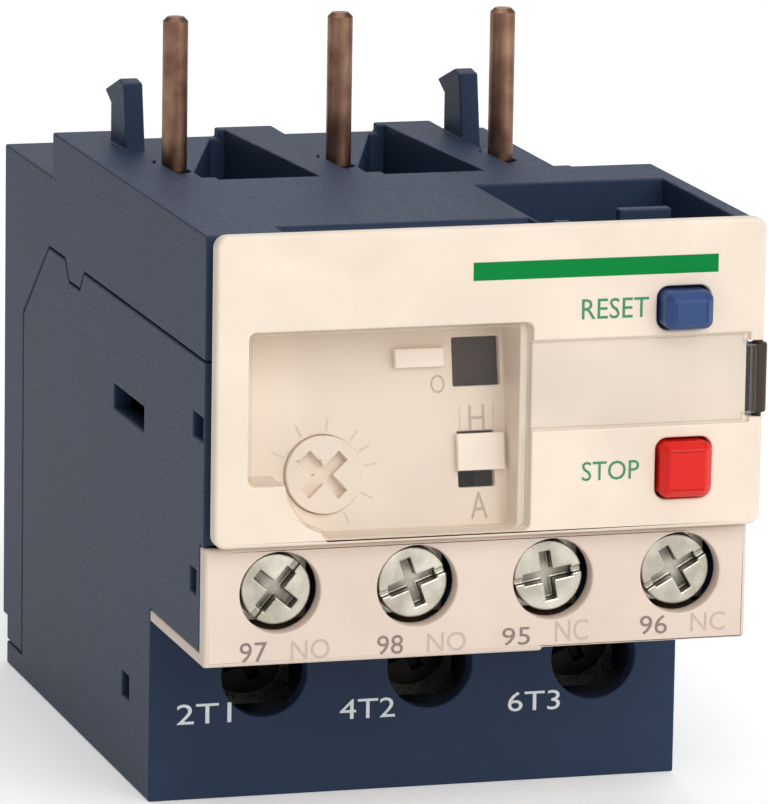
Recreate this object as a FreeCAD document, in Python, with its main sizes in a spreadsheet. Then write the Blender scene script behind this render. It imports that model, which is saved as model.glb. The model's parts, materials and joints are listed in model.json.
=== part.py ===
"""Thermal overload relay that plugs in under a three-pole contactor.

Millimetres. +Z is up, towards the contactor, and the front plate faces -Y.
The origin is the centre of the underside. Depths called "back" run from the
front plate's outer face towards the rear.
"""
import FreeCAD, Part
import os
import re
import Sketcher

doc = FreeCAD.newDocument("OverloadRelay")
sheet = doc.addObject("Spreadsheet::Sheet", "Sizes")
sub_parts = {}

SIZES = {
    # Outer form
    "width": 45.0,
    "depth": 70.0,
    "top_height": 49.7,
    "shelf_height": 45.9,
    "shelf_back": 52.8,
    "wall": 1.6,
    "parting_height": 39.6,
    "parting_seam": 0.15,
    "parting_chamfer_back": 53.9,
    "parting_chamfer_height": 32.3,
    "tongue_back": 41.6,
    "tongue_length": 6.6,
    "tongue_slope": 1.5,
    "tongue_drop": 1.7,
    "slab_thickness": 7.1,
    "foot_height": 2.0,
    "heel_height": 2.2,
    "heel_inset": 1.5,
    "base_front": 18.8,
    "right_step_x": 15.6,
    "right_step_back": 28.0,
    "right_step_floor": 41.2,
    "slip": 0.3,
    "fit_gap": 0.05,
    "lap": 0.1,
    "overcut": 1.0,
    "root_depth": 0.5,
    "long_window_back": 21.4,
    "long_window_length": 9.8,
    "long_window_bottom": 30.3,
    "long_window_height": 2.0,
    "edge_window_back": 2.9,
    "edge_window_length": 3.0,
    "edge_window_bottom": 33.2,
    "edge_window_height": 1.9,
    "cell_window_back": 4.6,
    "cell_window_length": 1.8,
    "cell_window_bottom": 20.6,
    "cell_window_height": 1.9,
    "base_window_back": 25.5,
    "base_window_length": 2.3,
    "base_window_bottom": 6.9,
    "base_window_height": 2.0,
    # Top of the upper housing
    "pole_pitch": 14.08,
    "first_pole_x": -16.2,
    "pole_drop": 0.75,
    "pole_start_back": 28.6,
    "rib_width": 5.1,
    "pocket_depth": 5.0,
    "pocket_back": 51.4,
    "pocket_front": 27.4,
    "pocket_mouth": 8.5,
    "pocket_tail": 1.3,
    "pocket_offset": 1.45,
    "pocket_slant": 5.6,
    "pocket_turn": 8.0,
    "roof_under_poles": 43.3,
    "hook_width": 1.65,
    "hook_back": 42.4,
    "hook_depth": 5.5,
    "hook_height": 6.4,
    "hook_nose": 2.1,
    "hook_shoulder": 3.9,
    "hook_nose_height": 4.8,
    "hook_crown": 2.8,
    "hook_face": 1.2,
    "hook_face_height": 6.2,
    "left_hook_x": -17.9,
    "hook_pitch": 29.2,
    "well_left_x": 5.0,
    "well_right_x": 21.1,
    "well_back": 20.9,
    "well_depth": 8.8,
    "bracket_back": 10.0,
    "bracket_thickness": 1.2,
    "bracket_width": 4.4,
    "bracket_height": 8.3,
    "post_x": 7.0,
    "post_width": 1.4,
    "post_back": 4.4,
    "post_depth": 2.2,
    "post_drop": 0.5,
    "groove_left_x": -16.1,
    "groove_back": 5.4,
    "groove_depth": 0.4,
    # Front cover and its sunk setting panel
    "plate_gap": 0.2,
    "plate_bottom": 25.1,
    "plate_top": 50.0,
    "plate_right_x": 22.9,
    "plate_thickness": 1.3,
    "plate_corner": 1.0,
    "plate_edge": 0.35,
    "skirt_inset": 0.7,
    "skirt_depth": 1.0,
    "panel_left_x": -19.6,
    "panel_right_x": 2.8,
    "panel_bottom": 25.5,
    "panel_top": 42.3,
    "panel_depth": 3.2,
    "panel_tilt": 10.0,
    "panel_skin": 0.8,
    "panel_shoulder": 4.5,
    "pan_sill": 0.6,
    "panel_side_wall": 1.0,
    "ledge_width": 0.8,
    "recess_corner": 0.6,
    "rebate_depth": 0.9,
    "arm_rebate_depth": 0.4,
    "arm_bottom": 33.5,
    "arm_top": 40.8,
    "arm_end_x": 21.7,
    "arm_root": 2.0,
    "arm_taper": 0.7,
    "lug_bottom": 34.2,
    "lug_top": 39.8,
    "lug_radius": 0.75,
    "lug_x": 22.6,
    "lug_back": 0.8,
    "ear_reach": 1.3,
    "ear_lip": 0.3,
    "ear_height": 1.0,
    "hinge_pin_radius": 0.4,
    "hinge_pin_length": 0.9,
    "cover_sheet": 0.8,
    "arm_sheet": 0.3,
    "cover_gap": 0.15,
    # Setting dial, test tab, selector and trip window, measured on the panel
    "dial_x": -12.4,
    "dial_up": 4.5,
    "dial_radius": 3.1,
    "dial_rise": 0.5,
    "dial_ring": 4.1,
    "dial_notch": 1.1,
    "dial_flange": 0.7,
    "dial_flange_thickness": 1.1,
    "cross_length": 4.4,
    "cross_width": 1.0,
    "cross_depth": 0.9,
    "cross_turn": 42,
    "arrow_turn": 152,
    "arrow_tip": 2.6,
    "arrow_root": 0.7,
    "arrow_width": 1.9,
    "cam_radius": 2.3,
    "cam_offset": 0.8,
    "cam_length": 2.6,
    "cam_stub": 0.6,
    "cam_space": 0.4,
    "tab_x": -6.35,
    "tab_width": 4.05,
    "tab_up": 12.66,
    "tab_height": 1.52,
    "tab_rise": 0.8,
    "tab_travel": 2.0,
    "tab_stem_inset": 0.45,
    "tab_stem_width": 1.0,
    "tab_stem_height": 0.6,
    "window_x": -1.4,
    "window_up": 11.0,
    "window_size": 3.9,
    "selector_x": -1.4,
    "selector_width": 3.9,
    "selector_up": 4.3,
    "selector_height": 2.95,
    "selector_rise": 0.7,
    "selector_slot_width": 3.0,
    "slot_inset": 0.2,
    "slot_reveal": 0.15,
    "selector_travel": 1.35,
    "guide_foot": 1.1,
    "foot_lip": 0.6,
    "flag_thickness": 0.9,
    "flag_travel": 3.6,
    "flag_lip": 0.4,
    # Push buttons
    "reset_x": 16.05,
    "reset_height_z": 43.0,
    "reset_width": 4.0,
    "reset_tall": 3.05,
    "reset_rise": 2.0,
    "reset_travel": 1.8,
    "stop_x": 16.3,
    "stop_height_z": 30.0,
    "stop_width": 4.2,
    "stop_tall": 4.5,
    "stop_rise": 1.2,
    "stop_travel": 1.5,
    "button_gap": 0.25,
    "button_lip": 0.9,
    "button_flange": 1.0,
    "button_bevel": 0.6,
    "button_corner": 0.7,
    "stem_radius": 1.1,
    "spring_inner": 1.4,
    "spring_wire": 0.4,
    "spring_turns": 5,
    # Control terminals
    "block_front": 1.9,
    "block_bottom": 15.15,
    "block_top": 24.8,
    "block_thickness": 1.6,
    "block_jog": 0.3,
    "block_jog_x": 5.4,
    "block_jog_depth": 15.8,
    "block_floor": 1.0,
    "screw_height": 21.0,
    "first_screw_x": -16.33,
    "screw_pitch": 11.28,
    "last_screw_pitch": 10.67,
    "driver_bore": 3.3,
    "cell_half_width": 4.6,
    "cell_back": 20.6,
    "cell_ceiling": 24.1,
    "deck_top": 24.85,
    "head_radius": 2.85,
    "head_thickness": 2.0,
    "head_sink": 1.3,
    "screw_radius": 1.7,
    "screw_length": 7.6,
    "recess_length": 4.0,
    "recess_width": 0.9,
    "recess_depth": 1.1,
    "slot_depth": 0.35,
    "slot_width": 0.5,
    "turn_97": 50,
    "turn_98": 20,
    "turn_95": 10,
    "turn_96": 30,
    "washer_size": 6.0,
    "washer_thickness": 0.9,
    "wire_gap": 1.8,
    "terminal_thickness": 1.2,
    "terminal_width": 6.6,
    "strap_width": 3.0,
    "finger_thickness": 0.6,
    "finger_top": 31.3,
    "wire_hole_width": 5.2,
    "wire_hole_front": 4.4,
    "wire_hole_length": 5.4,
    # Power terminals
    "first_power_x": -12.84,
    "power_height": 10.25,
    "power_bore": 3.6,
    "power_cell_width": 10.4,
    "power_cell_back": 44.0,
    "power_cell_ceiling": 16.0,
    "cage_width": 9.0,
    "cage_front": 27.5,
    "cage_depth": 12.5,
    "cage_wall": 1.3,
    "cage_nut": 2.2,
    "cage_bottom": 5.6,
    "cage_top": 13.9,
    "bar_width": 4.0,
    "bar_thickness": 1.0,
    "bar_height": 14.5,
    "bar_tab_back": 32.6,
    "bar_end": 0.5,
    "power_head_radius": 3.2,
    "power_head_thickness": 2.2,
    "power_head_back": 25.0,
    "power_screw_radius": 1.9,
    "power_turn": 25,
    # Thermal part
    "strip_back": 53.0,
    "strip_width": 5.0,
    "strip_thickness": 1.0,
    "strip_top": 38.9,
    "coil_radius": 2.9,
    "coil_wire": 0.8,
    "coil_bottom": 18.5,
    "coil_pitch": 2.6,
    "coil_turns": 5,
    "sleeve_wall": 0.2,
    "sleeve_lip": 0.6,
    "lead_width": 2.0,
    "lead_thickness": 1.0,
    "well_front_back": 26.0,
    "deep_well_back": 46.0,
    "middle_floor": 17.6,
    "pin_radius": 1.05,
    "pin_neck_radius": 0.8,
    "pin_back": 36.4,
    "pin_top": 61.8,
    "pin_mouth_radius": 1.35,
    "pin_mouth_depth": 0.7,
    "pin_scallop_radius": 1.8,
    "pin_chamfer": 0.35,
    "pin_tab_height": 37.6,
    "pin_tab_thickness": 1.2,
    "slider_travel": 1.5,
    "slider_thickness": 0.9,
    "slider_width": 6.8,
    "slider_bottom": 36.2,
    "slider_reach": 18.6,
    "boss_x": -5.0,
    "boss_inset": 1.6,
    "lever_width": 2.2,
    "lever_thickness": 1.5,
    "lever_tail": 1.4,
    "nose_width": 1.6,
    # Trip mechanism
    "frame_back": 22.2,
    "frame_wall": 1.3,
    "frame_top": 39.2,
    "guide_back": 12.0,
    "guide_left_x": 11.5,
    "pivot_x": -2.0,
    "pivot_back": 12.9,
    "pivot_radius": 0.9,
    "hub_radius": 2.1,
    "crank_reach": 10.0,
    "trip_reach": 12.2,
    "crank_thickness": 1.6,
    "compensator_thickness": 0.6,
    "compensator_bottom": 33.2,
    "compensator_top": 36.0,
    "carrier_back": 15.1,
    "carrier_thickness": 1.9,
    "carrier_bottom": 28.4,
    "carrier_top": 31.2,
    "carrier_travel": 1.2,
    "bridge_thickness": 0.6,
    "bridge_height": 2.2,
    "carrier_inset": 2.2,
    "carrier_slot_width": 3.0,
    "post_right_x": 12.8,
    "base_left": 1.2,
    "base_right": 3.0,
    "base_thickness": 1.0,
    "compensator_room": 1.1,
}
for row, (alias, value) in enumerate(SIZES.items(), 1):
    sheet.set("A%d" % row, alias)
    sheet.set("B%d" % row, str(value))
    sheet.setAlias("B%d" % row, alias)
doc.recompute()


def tied(expression):
    """Point each size named in an expression at its cell in the sheet."""
    names = "|".join(sorted(SIZES, key=len, reverse=True))
    return re.sub(r"\b(%s)\b" % names, r"Sizes.\1", expression)


def bind(item, property_name, expression):
    item.setExpression(property_name, tied(expression))


def back(expression):
    """Y of a depth measured from the front plate's outer face."""
    return "((reset_rise - depth) / 2 + (%s))" % expression


def ahead(expression):
    """Distance in front of the origin of the same depth, for sketches that face the front."""
    return "((depth - reset_rise) / 2 - (%s))" % expression


def place(item, x, y, z):
    bind(item, "Placement.Base.x", x)
    bind(item, "Placement.Base.y", y)
    bind(item, "Placement.Base.z", z)


def block(name, x, depths, z):
    """Box between pairs of expressions; the middle pair runs back from the front."""
    item = doc.addObject("Part::Box", name)
    bind(item, "Length", "(%s) - (%s)" % (x[1], x[0]))
    bind(item, "Width", "(%s) - (%s)" % (depths[1], depths[0]))
    bind(item, "Height", "(%s) - (%s)" % (z[1], z[0]))
    place(item, x[0], back(depths[0]), z[0])
    return item


def rod_up(name, radius, x, depth, z):
    """Cylinder along Z between two heights."""
    item = doc.addObject("Part::Cylinder", name)
    bind(item, "Radius", radius)
    bind(item, "Height", "(%s) - (%s)" % (z[1], z[0]))
    place(item, x, back(depth), z[0])
    return item


def rod_back(name, radius, x, depths, z):
    """Cylinder along Y between two depths."""
    item = doc.addObject("Part::Cylinder", name)
    bind(item, "Radius", radius)
    bind(item, "Height", "(%s) - (%s)" % (depths[1], depths[0]))
    item.Placement = FreeCAD.Placement(FreeCAD.Vector(), FreeCAD.Rotation(FreeCAD.Vector(-1, 0, 0), 90))
    place(item, x, back(depths[0]), z)
    return item


def on_panel(item, x="0", up="0", out="0"):
    """Place an item in the sloping panel's frame: x, up the panel, and out of it."""
    item.Placement = FreeCAD.Placement(FreeCAD.Vector(), FreeCAD.Rotation(FreeCAD.Vector(1, 0, 0), 80))
    bind(item, "Placement.Rotation.Angle", "90 - panel_tilt")
    along = "(%s) * sin(panel_tilt * 1 deg) - (%s) * cos(panel_tilt * 1 deg)" % (up, out)
    high = "(%s) * cos(panel_tilt * 1 deg) + (%s) * sin(panel_tilt * 1 deg)" % (up, out)
    place(item, x, back("panel_depth + " + along), "panel_bottom + " + high)
    return item


def panel_block(name, x, up, out):
    """Box in the sloping panel's frame."""
    item = doc.addObject("Part::Box", name)
    bind(item, "Length", "(%s) - (%s)" % (x[1], x[0]))
    bind(item, "Width", "(%s) - (%s)" % (up[1], up[0]))
    bind(item, "Height", "(%s) - (%s)" % (out[1], out[0]))
    return on_panel(item, x[0], up[0], out[0])


def panel_rod(name, radius, x, up, out):
    """Cylinder that stands on the sloping panel."""
    item = doc.addObject("Part::Cylinder", name)
    bind(item, "Radius", radius)
    bind(item, "Height", "(%s) - (%s)" % (out[1], out[0]))
    return on_panel(item, x, up, out[0])


def fuse(name, items):
    result = doc.addObject("Part::MultiFuse", name)
    result.Shapes = items
    result.Refine = True
    return result


def cut(name, base, tools):
    result = doc.addObject("Part::Cut", name)
    result.Base = base
    result.Tool = tools[0] if len(tools) == 1 else fuse(name + "_tools", tools)
    result.Refine = True
    return result


def common(name, first, second):
    result = doc.addObject("Part::Common", name)
    result.Base = first
    result.Tool = second
    return result


def keep(label, item):
    """Register a finished sub-part under the name of its node."""
    item.Label = label
    sub_parts[label] = item
    return item


def sketch_on(body, role, name, offset="0"):
    """Sketch on one of the body's own planes, moved along its normal."""
    sketch = body.newObject("Sketcher::SketchObject", name)
    plane = [feature for feature in body.Origin.OriginFeatures if feature.Role == role][0]
    sketch.AttachmentSupport = [(plane, "")]
    sketch.MapMode = "FlatFace"
    bind(sketch, "AttachmentOffset.Base.z", offset)
    return sketch


def outline(sketch, corners):
    """Closed outline of straight edges whose corners are tied to the sizes."""
    count = len(corners)
    circle = [FreeCAD.Vector(10, 0, 0)]
    turn = FreeCAD.Rotation(FreeCAD.Vector(0, 0, 1), 360.0 / count)
    for _ in corners[1:]:
        circle.append(turn.multVec(circle[-1]))
    for index in range(count):
        sketch.addGeometry(Part.LineSegment(circle[index], circle[(index + 1) % count]), False)
    for index in range(count):
        sketch.addConstraint(Sketcher.Constraint("Coincident", index, 2, (index + 1) % count, 1))
    for index, (across, along) in enumerate(corners):
        row = sketch.addConstraint(Sketcher.Constraint("DistanceX", -1, 1, index, 1, circle[index].x))
        bind(sketch, "Constraints[%d]" % row, across)
        row = sketch.addConstraint(Sketcher.Constraint("DistanceY", -1, 1, index, 1, circle[index].y))
        bind(sketch, "Constraints[%d]" % row, along)


def rectangle(sketch, x, y):
    outline(sketch, [(x[0], y[0]), (x[1], y[0]), (x[1], y[1]), (x[0], y[1])])


def side_prism(name, corners, start, length):
    """Body padded along X from an outline of depths and heights."""
    body = doc.addObject("PartDesign::Body", name)
    sketch = sketch_on(body, "YZ_Plane", name + "_outline", start)
    outline(sketch, [(back(depth), height) for depth, height in corners])
    pad = body.newObject("PartDesign::Pad", name + "_pad")
    pad.Profile = sketch
    bind(pad, "Length", length)
    return body


def plan_prism(name, corners, bottom, height):
    """Body padded upwards from an outline seen from above."""
    body = doc.addObject("PartDesign::Body", name)
    sketch = sketch_on(body, "XY_Plane", name + "_outline", bottom)
    outline(sketch, [(x, back(depth)) for x, depth in corners])
    pad = body.newObject("PartDesign::Pad", name + "_pad")
    pad.Profile = sketch
    bind(pad, "Length", height)
    return body


def turned(reach, side, turn):
    """Point at a reach along an arm and off to its side, the arm turned by an angle."""
    across = "(%s) * cos(%s) - (%s) * sin(%s)" % (reach, turn, side, turn)
    along = "(%s) * sin(%s) + (%s) * cos(%s)" % (reach, turn, side, turn)
    return across, along


def cross_corners(length, width, turn):
    """Corners of a cross with four equal arms."""
    corners = []
    for quarter in range(4):
        angle = "((%s + %d) * 1 deg)" % (turn, 90 * quarter)
        for reach, side in ((length, "-" + width), (length, width), (width, width)):
            corners.append(turned(reach + " / 2", side + " / 2", angle))
    return corners


def bar_corners(length, width, turn):
    """Corners of a bar turned about its middle."""
    angle = "(%s * 1 deg)" % turn
    corners = []
    for end, side in (("-", "-"), ("", "-"), ("", ""), ("-", "")):
        corners.append(turned("%s(%s) / 2" % (end, length), "%s(%s) / 2" % (side, width), angle))
    return corners


def flat_prism(name, role, corners, length):
    """Body padded by a length from an outline round the origin of one of its planes."""
    body = doc.addObject("PartDesign::Body", name)
    sketch = sketch_on(body, role, name + "_outline")
    outline(sketch, corners)
    pad = body.newObject("PartDesign::Pad", name + "_pad")
    pad.Profile = sketch
    bind(pad, "Length", length)
    return body


def panel_prism(name, corners, x, up, out):
    """Body that stands on the sloping panel, padded from an outline round a centre."""
    body = flat_prism(name, "XY_Plane", corners, "(%s) - (%s)" % (out[1], out[0]))
    return on_panel(body, x, up, out[0])


def facing_prism(name, corners, x, depths, z):
    """Body between two depths, padded towards the front from an outline round a centre."""
    body = flat_prism(name, "XZ_Plane", corners, "(%s) - (%s)" % (depths[1], depths[0]))
    place(body, x, back(depths[1]), z)
    return body


def rounded(body, name, radius, chosen):
    """Fillet the edges of a body's last feature that pass a test of their box."""
    doc.recompute()
    base = body.Tip
    edges = ["Edge%d" % (index + 1) for index, edge in enumerate(base.Shape.Edges) if chosen(edge)]
    fillet = body.newObject("PartDesign::Fillet", name)
    fillet.Base = (base, edges)
    bind(fillet, "Radius", radius)
    return fillet


def runs_along(edge, axis):
    """True if a straight edge runs along one axis."""
    box = edge.BoundBox
    spans = {"x": box.XLength, "y": box.YLength, "z": box.ZLength}
    across = [span for name, span in spans.items() if name != axis]
    return spans[axis] > 0.01 and max(across) < 0.01


def front_slab(name, x, depths, z, corner):
    """Body padded towards the front from an upright rectangle with round corners."""
    body = doc.addObject("PartDesign::Body", name)
    sketch = sketch_on(body, "XZ_Plane", name + "_outline", ahead(depths[1]))
    rectangle(sketch, x, z)
    pad = body.newObject("PartDesign::Pad", name + "_pad")
    pad.Profile = sketch
    bind(pad, "Length", "(%s) - (%s)" % (depths[1], depths[0]))
    rounded(body, name + "_corners", corner, lambda edge: runs_along(edge, "y"))
    return body


def front_edges(shape):
    """Names of the edges that lie in a shape's foremost plane."""
    nearest = shape.BoundBox.YMin + 0.01
    return ["Edge%d" % (index + 1) for index, edge in enumerate(shape.Edges) if edge.BoundBox.YMax < nearest]


def power_x(pole):
    return "first_power_x + %d * pole_pitch" % pole


def pole_x(pole):
    return "first_pole_x + %d * pole_pitch" % pole


SCREW_PLACES = {
    "_97": "first_screw_x",
    "_98": "first_screw_x + screw_pitch",
    "_95": "first_screw_x + 2 * screw_pitch",
    "_96": "first_screw_x + 2 * screw_pitch + last_screw_pitch",
}
POLES = range(3)
INNER = "width / 2 - wall"
SEAT = "plate_thickness + skirt_depth + 0.5 * plate_gap"
SLAB = "depth - slab_thickness"
FLOOR_OF_WELL = "top_height - well_depth"
TAB_STEM = ("tab_x + tab_width - tab_stem_inset - tab_stem_width", "tab_x + tab_width - tab_stem_inset")
TAB_MIDDLE = "tab_up + tab_height / 2"
PAN_SLOPE = "tan(panel_tilt * 1 deg) * "
PAN_BACK = "panel_depth + panel_skin + " + PAN_SLOPE + "(panel_top - panel_bottom + panel_skin)"


def make_lower_housing():
    """Lower shell: terminal cells, middle and rear wells, driver holes and snap windows."""
    tongue_end = "tongue_back + tongue_length"
    shell = side_prism("lower_shell", [
        ("base_front", "0"),
        ("depth - heel_inset", "0"),
        ("depth - heel_inset", "foot_height"),
        (SLAB, "foot_height"),
        (SLAB, "parting_chamfer_height"),
        ("parting_chamfer_back", "parting_height"),
        (tongue_end, "parting_height"),
        (tongue_end + " - tongue_slope", "parting_height - tongue_drop"),
        ("tongue_back + tongue_slope", "parting_height - tongue_drop"),
        ("tongue_back", "parting_height"),
        (SEAT, "parting_height"),
        (SEAT, "block_top"),
        ("block_front + block_thickness", "block_top"),
        ("block_front + block_thickness", "block_bottom + block_floor"),
        ("base_front", "block_bottom + block_floor"),
    ], "-width / 2", "width")
    hollows = [
        block("lower_front_hollow", ("-(%s)" % INNER, INNER), ("0", "well_front_back + wall"),
              ("deck_top", "top_height")),
        block("lower_middle_hollow", ("-(%s)" % INNER, INNER), ("well_front_back", "deep_well_back"),
              ("middle_floor", "top_height")),
        block("lower_deep_hollow", ("-(%s)" % INNER, INNER), ("deep_well_back", SLAB + " - wall"),
              ("wall", "top_height")),
    ]
    for mark, x in SCREW_PLACES.items():
        hollows.append(block("control_cell" + mark, (x + " - cell_half_width", x + " + cell_half_width"),
                             ("0", "cell_back"), ("block_bottom", "cell_ceiling")))
        finger = FINGER_FRONT[mark]
        hollows.append(block("finger_slot" + mark,
                             (x + " - strap_width / 2 - slip", x + " + strap_width / 2 + slip"),
                             (finger + " - slip", finger + " + finger_thickness + slip"),
                             ("cell_ceiling - overcut", "deck_top + overcut")))
    for pole in POLES:
        x = power_x(pole)
        hollows.append(block("power_cell_%d" % pole,
                             (x + " - power_cell_width / 2", x + " + power_cell_width / 2"),
                             ("base_front + wall", "power_cell_back"), ("-overcut", "power_cell_ceiling")))
        hollows.append(rod_back("driver_hole_%d" % pole, "power_bore", x,
                                ("base_front - overcut", "base_front + wall + overcut"), "power_height"))
        hollows.append(block("bar_slot_%d" % pole,
                             (x + " - bar_width / 2 - slip", x + " + bar_width / 2 + slip"),
                             ("power_cell_back - overcut", "deep_well_back + overcut"),
                             ("bar_height - slip", "bar_height + bar_thickness + slip")))
    for side in (-1, 1):
        face = (INNER + " - lap", "width / 2 + overcut")
        if side < 0:
            face = ("-width / 2 - overcut", "-(%s) + lap" % INNER)
        for mark in ("long", "edge", "cell", "base"):
            start = mark + "_window_back"
            bottom = mark + "_window_bottom"
            hollows.append(block("%s_window_%d" % (mark, side + 1), face,
                                 (start, start + " + %s_window_length" % mark),
                                 (bottom, bottom + " + %s_window_height" % mark)))
    keep("lower_housing", cut("lower_housing", shell, hollows))


FINGER_FRONT = {}
for mark in ("_95", "_96"):
    FINGER_FRONT[mark] = "carrier_back + carrier_thickness + carrier_travel + slip"
for mark in ("_97", "_98"):
    FINGER_FRONT[mark] = "carrier_back + carrier_thickness + bridge_thickness + carrier_travel + fit_gap"


def make_upper_housing():
    """Upper shell: roof with ribs, pockets and hooks, the open well, and the back slab."""
    seam = " + parting_seam"
    tongue_end = "tongue_back + tongue_length"
    shell = side_prism("upper_shell", [
        (SEAT, "parting_height" + seam),
        ("tongue_back", "parting_height" + seam),
        ("tongue_back + tongue_slope", "parting_height - tongue_drop" + seam),
        (tongue_end + " - tongue_slope", "parting_height - tongue_drop" + seam),
        (tongue_end, "parting_height" + seam),
        ("parting_chamfer_back", "parting_height" + seam),
        (SLAB + seam, "parting_chamfer_height" + seam),
        (SLAB + seam, "foot_height" + seam),
        ("depth - heel_inset", "foot_height" + seam),
        ("depth - heel_inset", "foot_height + heel_height"),
        ("depth", "foot_height + heel_height"),
        ("depth", "shelf_height"),
        ("shelf_back", "shelf_height"),
        ("shelf_back", "top_height"),
        (SEAT, "top_height"),
    ], "-width / 2", "width")
    ribs = ["-width / 2", "-width / 2 + pole_pitch", "-width / 2 + 2 * pole_pitch"]
    tools = [
        block("right_step", ("right_step_x", "width"), ("right_step_back", "depth + overcut"),
              ("right_step_floor", "top_height + overcut")),
        block("front_hollow", ("-(%s)" % INNER, "well_left_x - wall"), (SEAT + " + wall", "well_front_back"),
              ("middle_floor", "top_height - wall")),
        block("panel_opening", ("-(%s)" % INNER, "panel_right_x + panel_side_wall + slip"),
              ("0", PAN_BACK + " + slip"), ("middle_floor", "panel_top + panel_skin + slip")),
        block("tongue_hollow", ("-(%s)" % INNER, INNER), (SEAT + " + wall", SLAB + " - wall"),
              ("middle_floor", "parting_height + parting_seam")),
        block("pole_hollow", ("-(%s)" % INNER, "right_step_x - wall"),
              ("well_front_back", "shelf_back - wall"), ("middle_floor", "roof_under_poles")),
        block("shelf_hollow", ("-(%s)" % INNER, "right_step_x - wall"),
              ("shelf_back - wall", "depth - wall"), ("middle_floor", "shelf_height - wall")),
        block("slab_hollow", ("-(%s)" % INNER, INNER), (SLAB + " - wall", "depth - wall"),
              ("foot_height + heel_height + wall", "right_step_floor - wall")),
        block("well", ("well_left_x", "well_right_x"), ("0", "well_back"),
              (FLOOR_OF_WELL, "top_height + overcut")),
        block("front_groove", ("groove_left_x", "well_left_x - slip"), ("0", "groove_back"),
              ("top_height - groove_depth", "top_height + overcut")),
    ]
    for pole in POLES:
        right = ribs[pole + 1] if pole < 2 else "right_step_x + overcut"
        tools.append(block("pole_area_%d" % pole, (ribs[pole] + " + rib_width", right),
                           ("pole_start_back", "shelf_back + overcut"),
                           ("top_height - pole_drop", "top_height + overcut")))
        tools.append(rod_up("pin_hole_%d" % pole, "pin_neck_radius + fit_gap", pole_x(pole), "pin_back",
                            ("roof_under_poles - overcut", "top_height + overcut")))
        tools.append(rod_up("pin_mouth_%d" % pole, "pin_mouth_radius", pole_x(pole), "pin_back",
                            ("top_height - pole_drop - pin_mouth_depth", "top_height + overcut")))
        tools.append(rod_up("pin_scallop_%d" % pole, "pin_scallop_radius", pole_x(pole), "pin_back",
                            ("top_height - pole_drop", "top_height + overcut")))
    for pole in (0, 1):
        x = pole_x(pole) + " + pocket_offset"
        tools.append(plan_prism("pocket_%d" % pole, [
            (x, "pocket_front"),
            (x + " + pocket_mouth", "pocket_front"),
            (x + " + pocket_slant + pocket_tail", "pocket_back"),
            (x + " + pocket_slant", "pocket_back"),
            (x, "pocket_front + pocket_turn"),
        ], "top_height - pocket_depth", "pocket_depth + overcut"))
    shaped = cut("upper_shaped", shell, tools)
    root = FLOOR_OF_WELL + " - root_depth"
    standing = [
        block("well_post", ("post_x", "post_x + post_width"), ("post_back", "post_back + post_depth"),
              (root, "top_height - post_drop")),
        block("stem_bracket", ("reset_x - bracket_width / 2", "reset_x + bracket_width / 2"),
              ("bracket_back", "bracket_back + bracket_thickness"),
              (root, FLOOR_OF_WELL + " + bracket_height")),
    ]
    for index, x in enumerate(("left_hook_x", "left_hook_x + hook_pitch")):
        base = "top_height - pole_drop"
        back_face = "hook_back + hook_depth"
        standing.append(side_prism("hook_%d" % index, [
            ("hook_back", base + " - root_depth"),
            (back_face, base + " - root_depth"),
            (back_face, base + " + hook_shoulder"),
            (back_face + " + hook_nose", base + " + hook_nose_height"),
            ("hook_back + hook_crown", base + " + hook_height"),
            ("hook_back + hook_face", base + " + hook_face_height"),
        ], x + " - hook_width / 2", "hook_width"))
    whole = fuse("upper_whole", [shaped] + standing)
    keep("upper_housing", cut("upper_housing", whole, [
        rod_back("stem_bracket_hole", "stem_radius + fit_gap", "reset_x",
                 ("bracket_back - overcut", "bracket_back + bracket_thickness + overcut"), "reset_height_z"),
    ]))


def panel_shape(name, right, depths, gap="0"):
    """Outline of the setting panel, wrapped round the dial, between two depths."""
    dial_z = "panel_bottom + dial_up"
    upper = front_slab(name + "_upper", ("panel_left_x + " + gap, right + " - " + gap), depths,
                       ("panel_bottom + panel_shoulder + " + gap, "panel_top - " + gap), "recess_corner")
    lower = front_slab(name + "_lower", ("dial_x - dial_notch + " + gap, right + " - " + gap), depths,
                       ("panel_bottom + " + gap, "panel_top - " + gap), "recess_corner")
    ring = rod_back(name + "_ring", "dial_ring - " + gap, "dial_x", depths, dial_z)
    return fuse(name, [upper, lower, ring])


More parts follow.
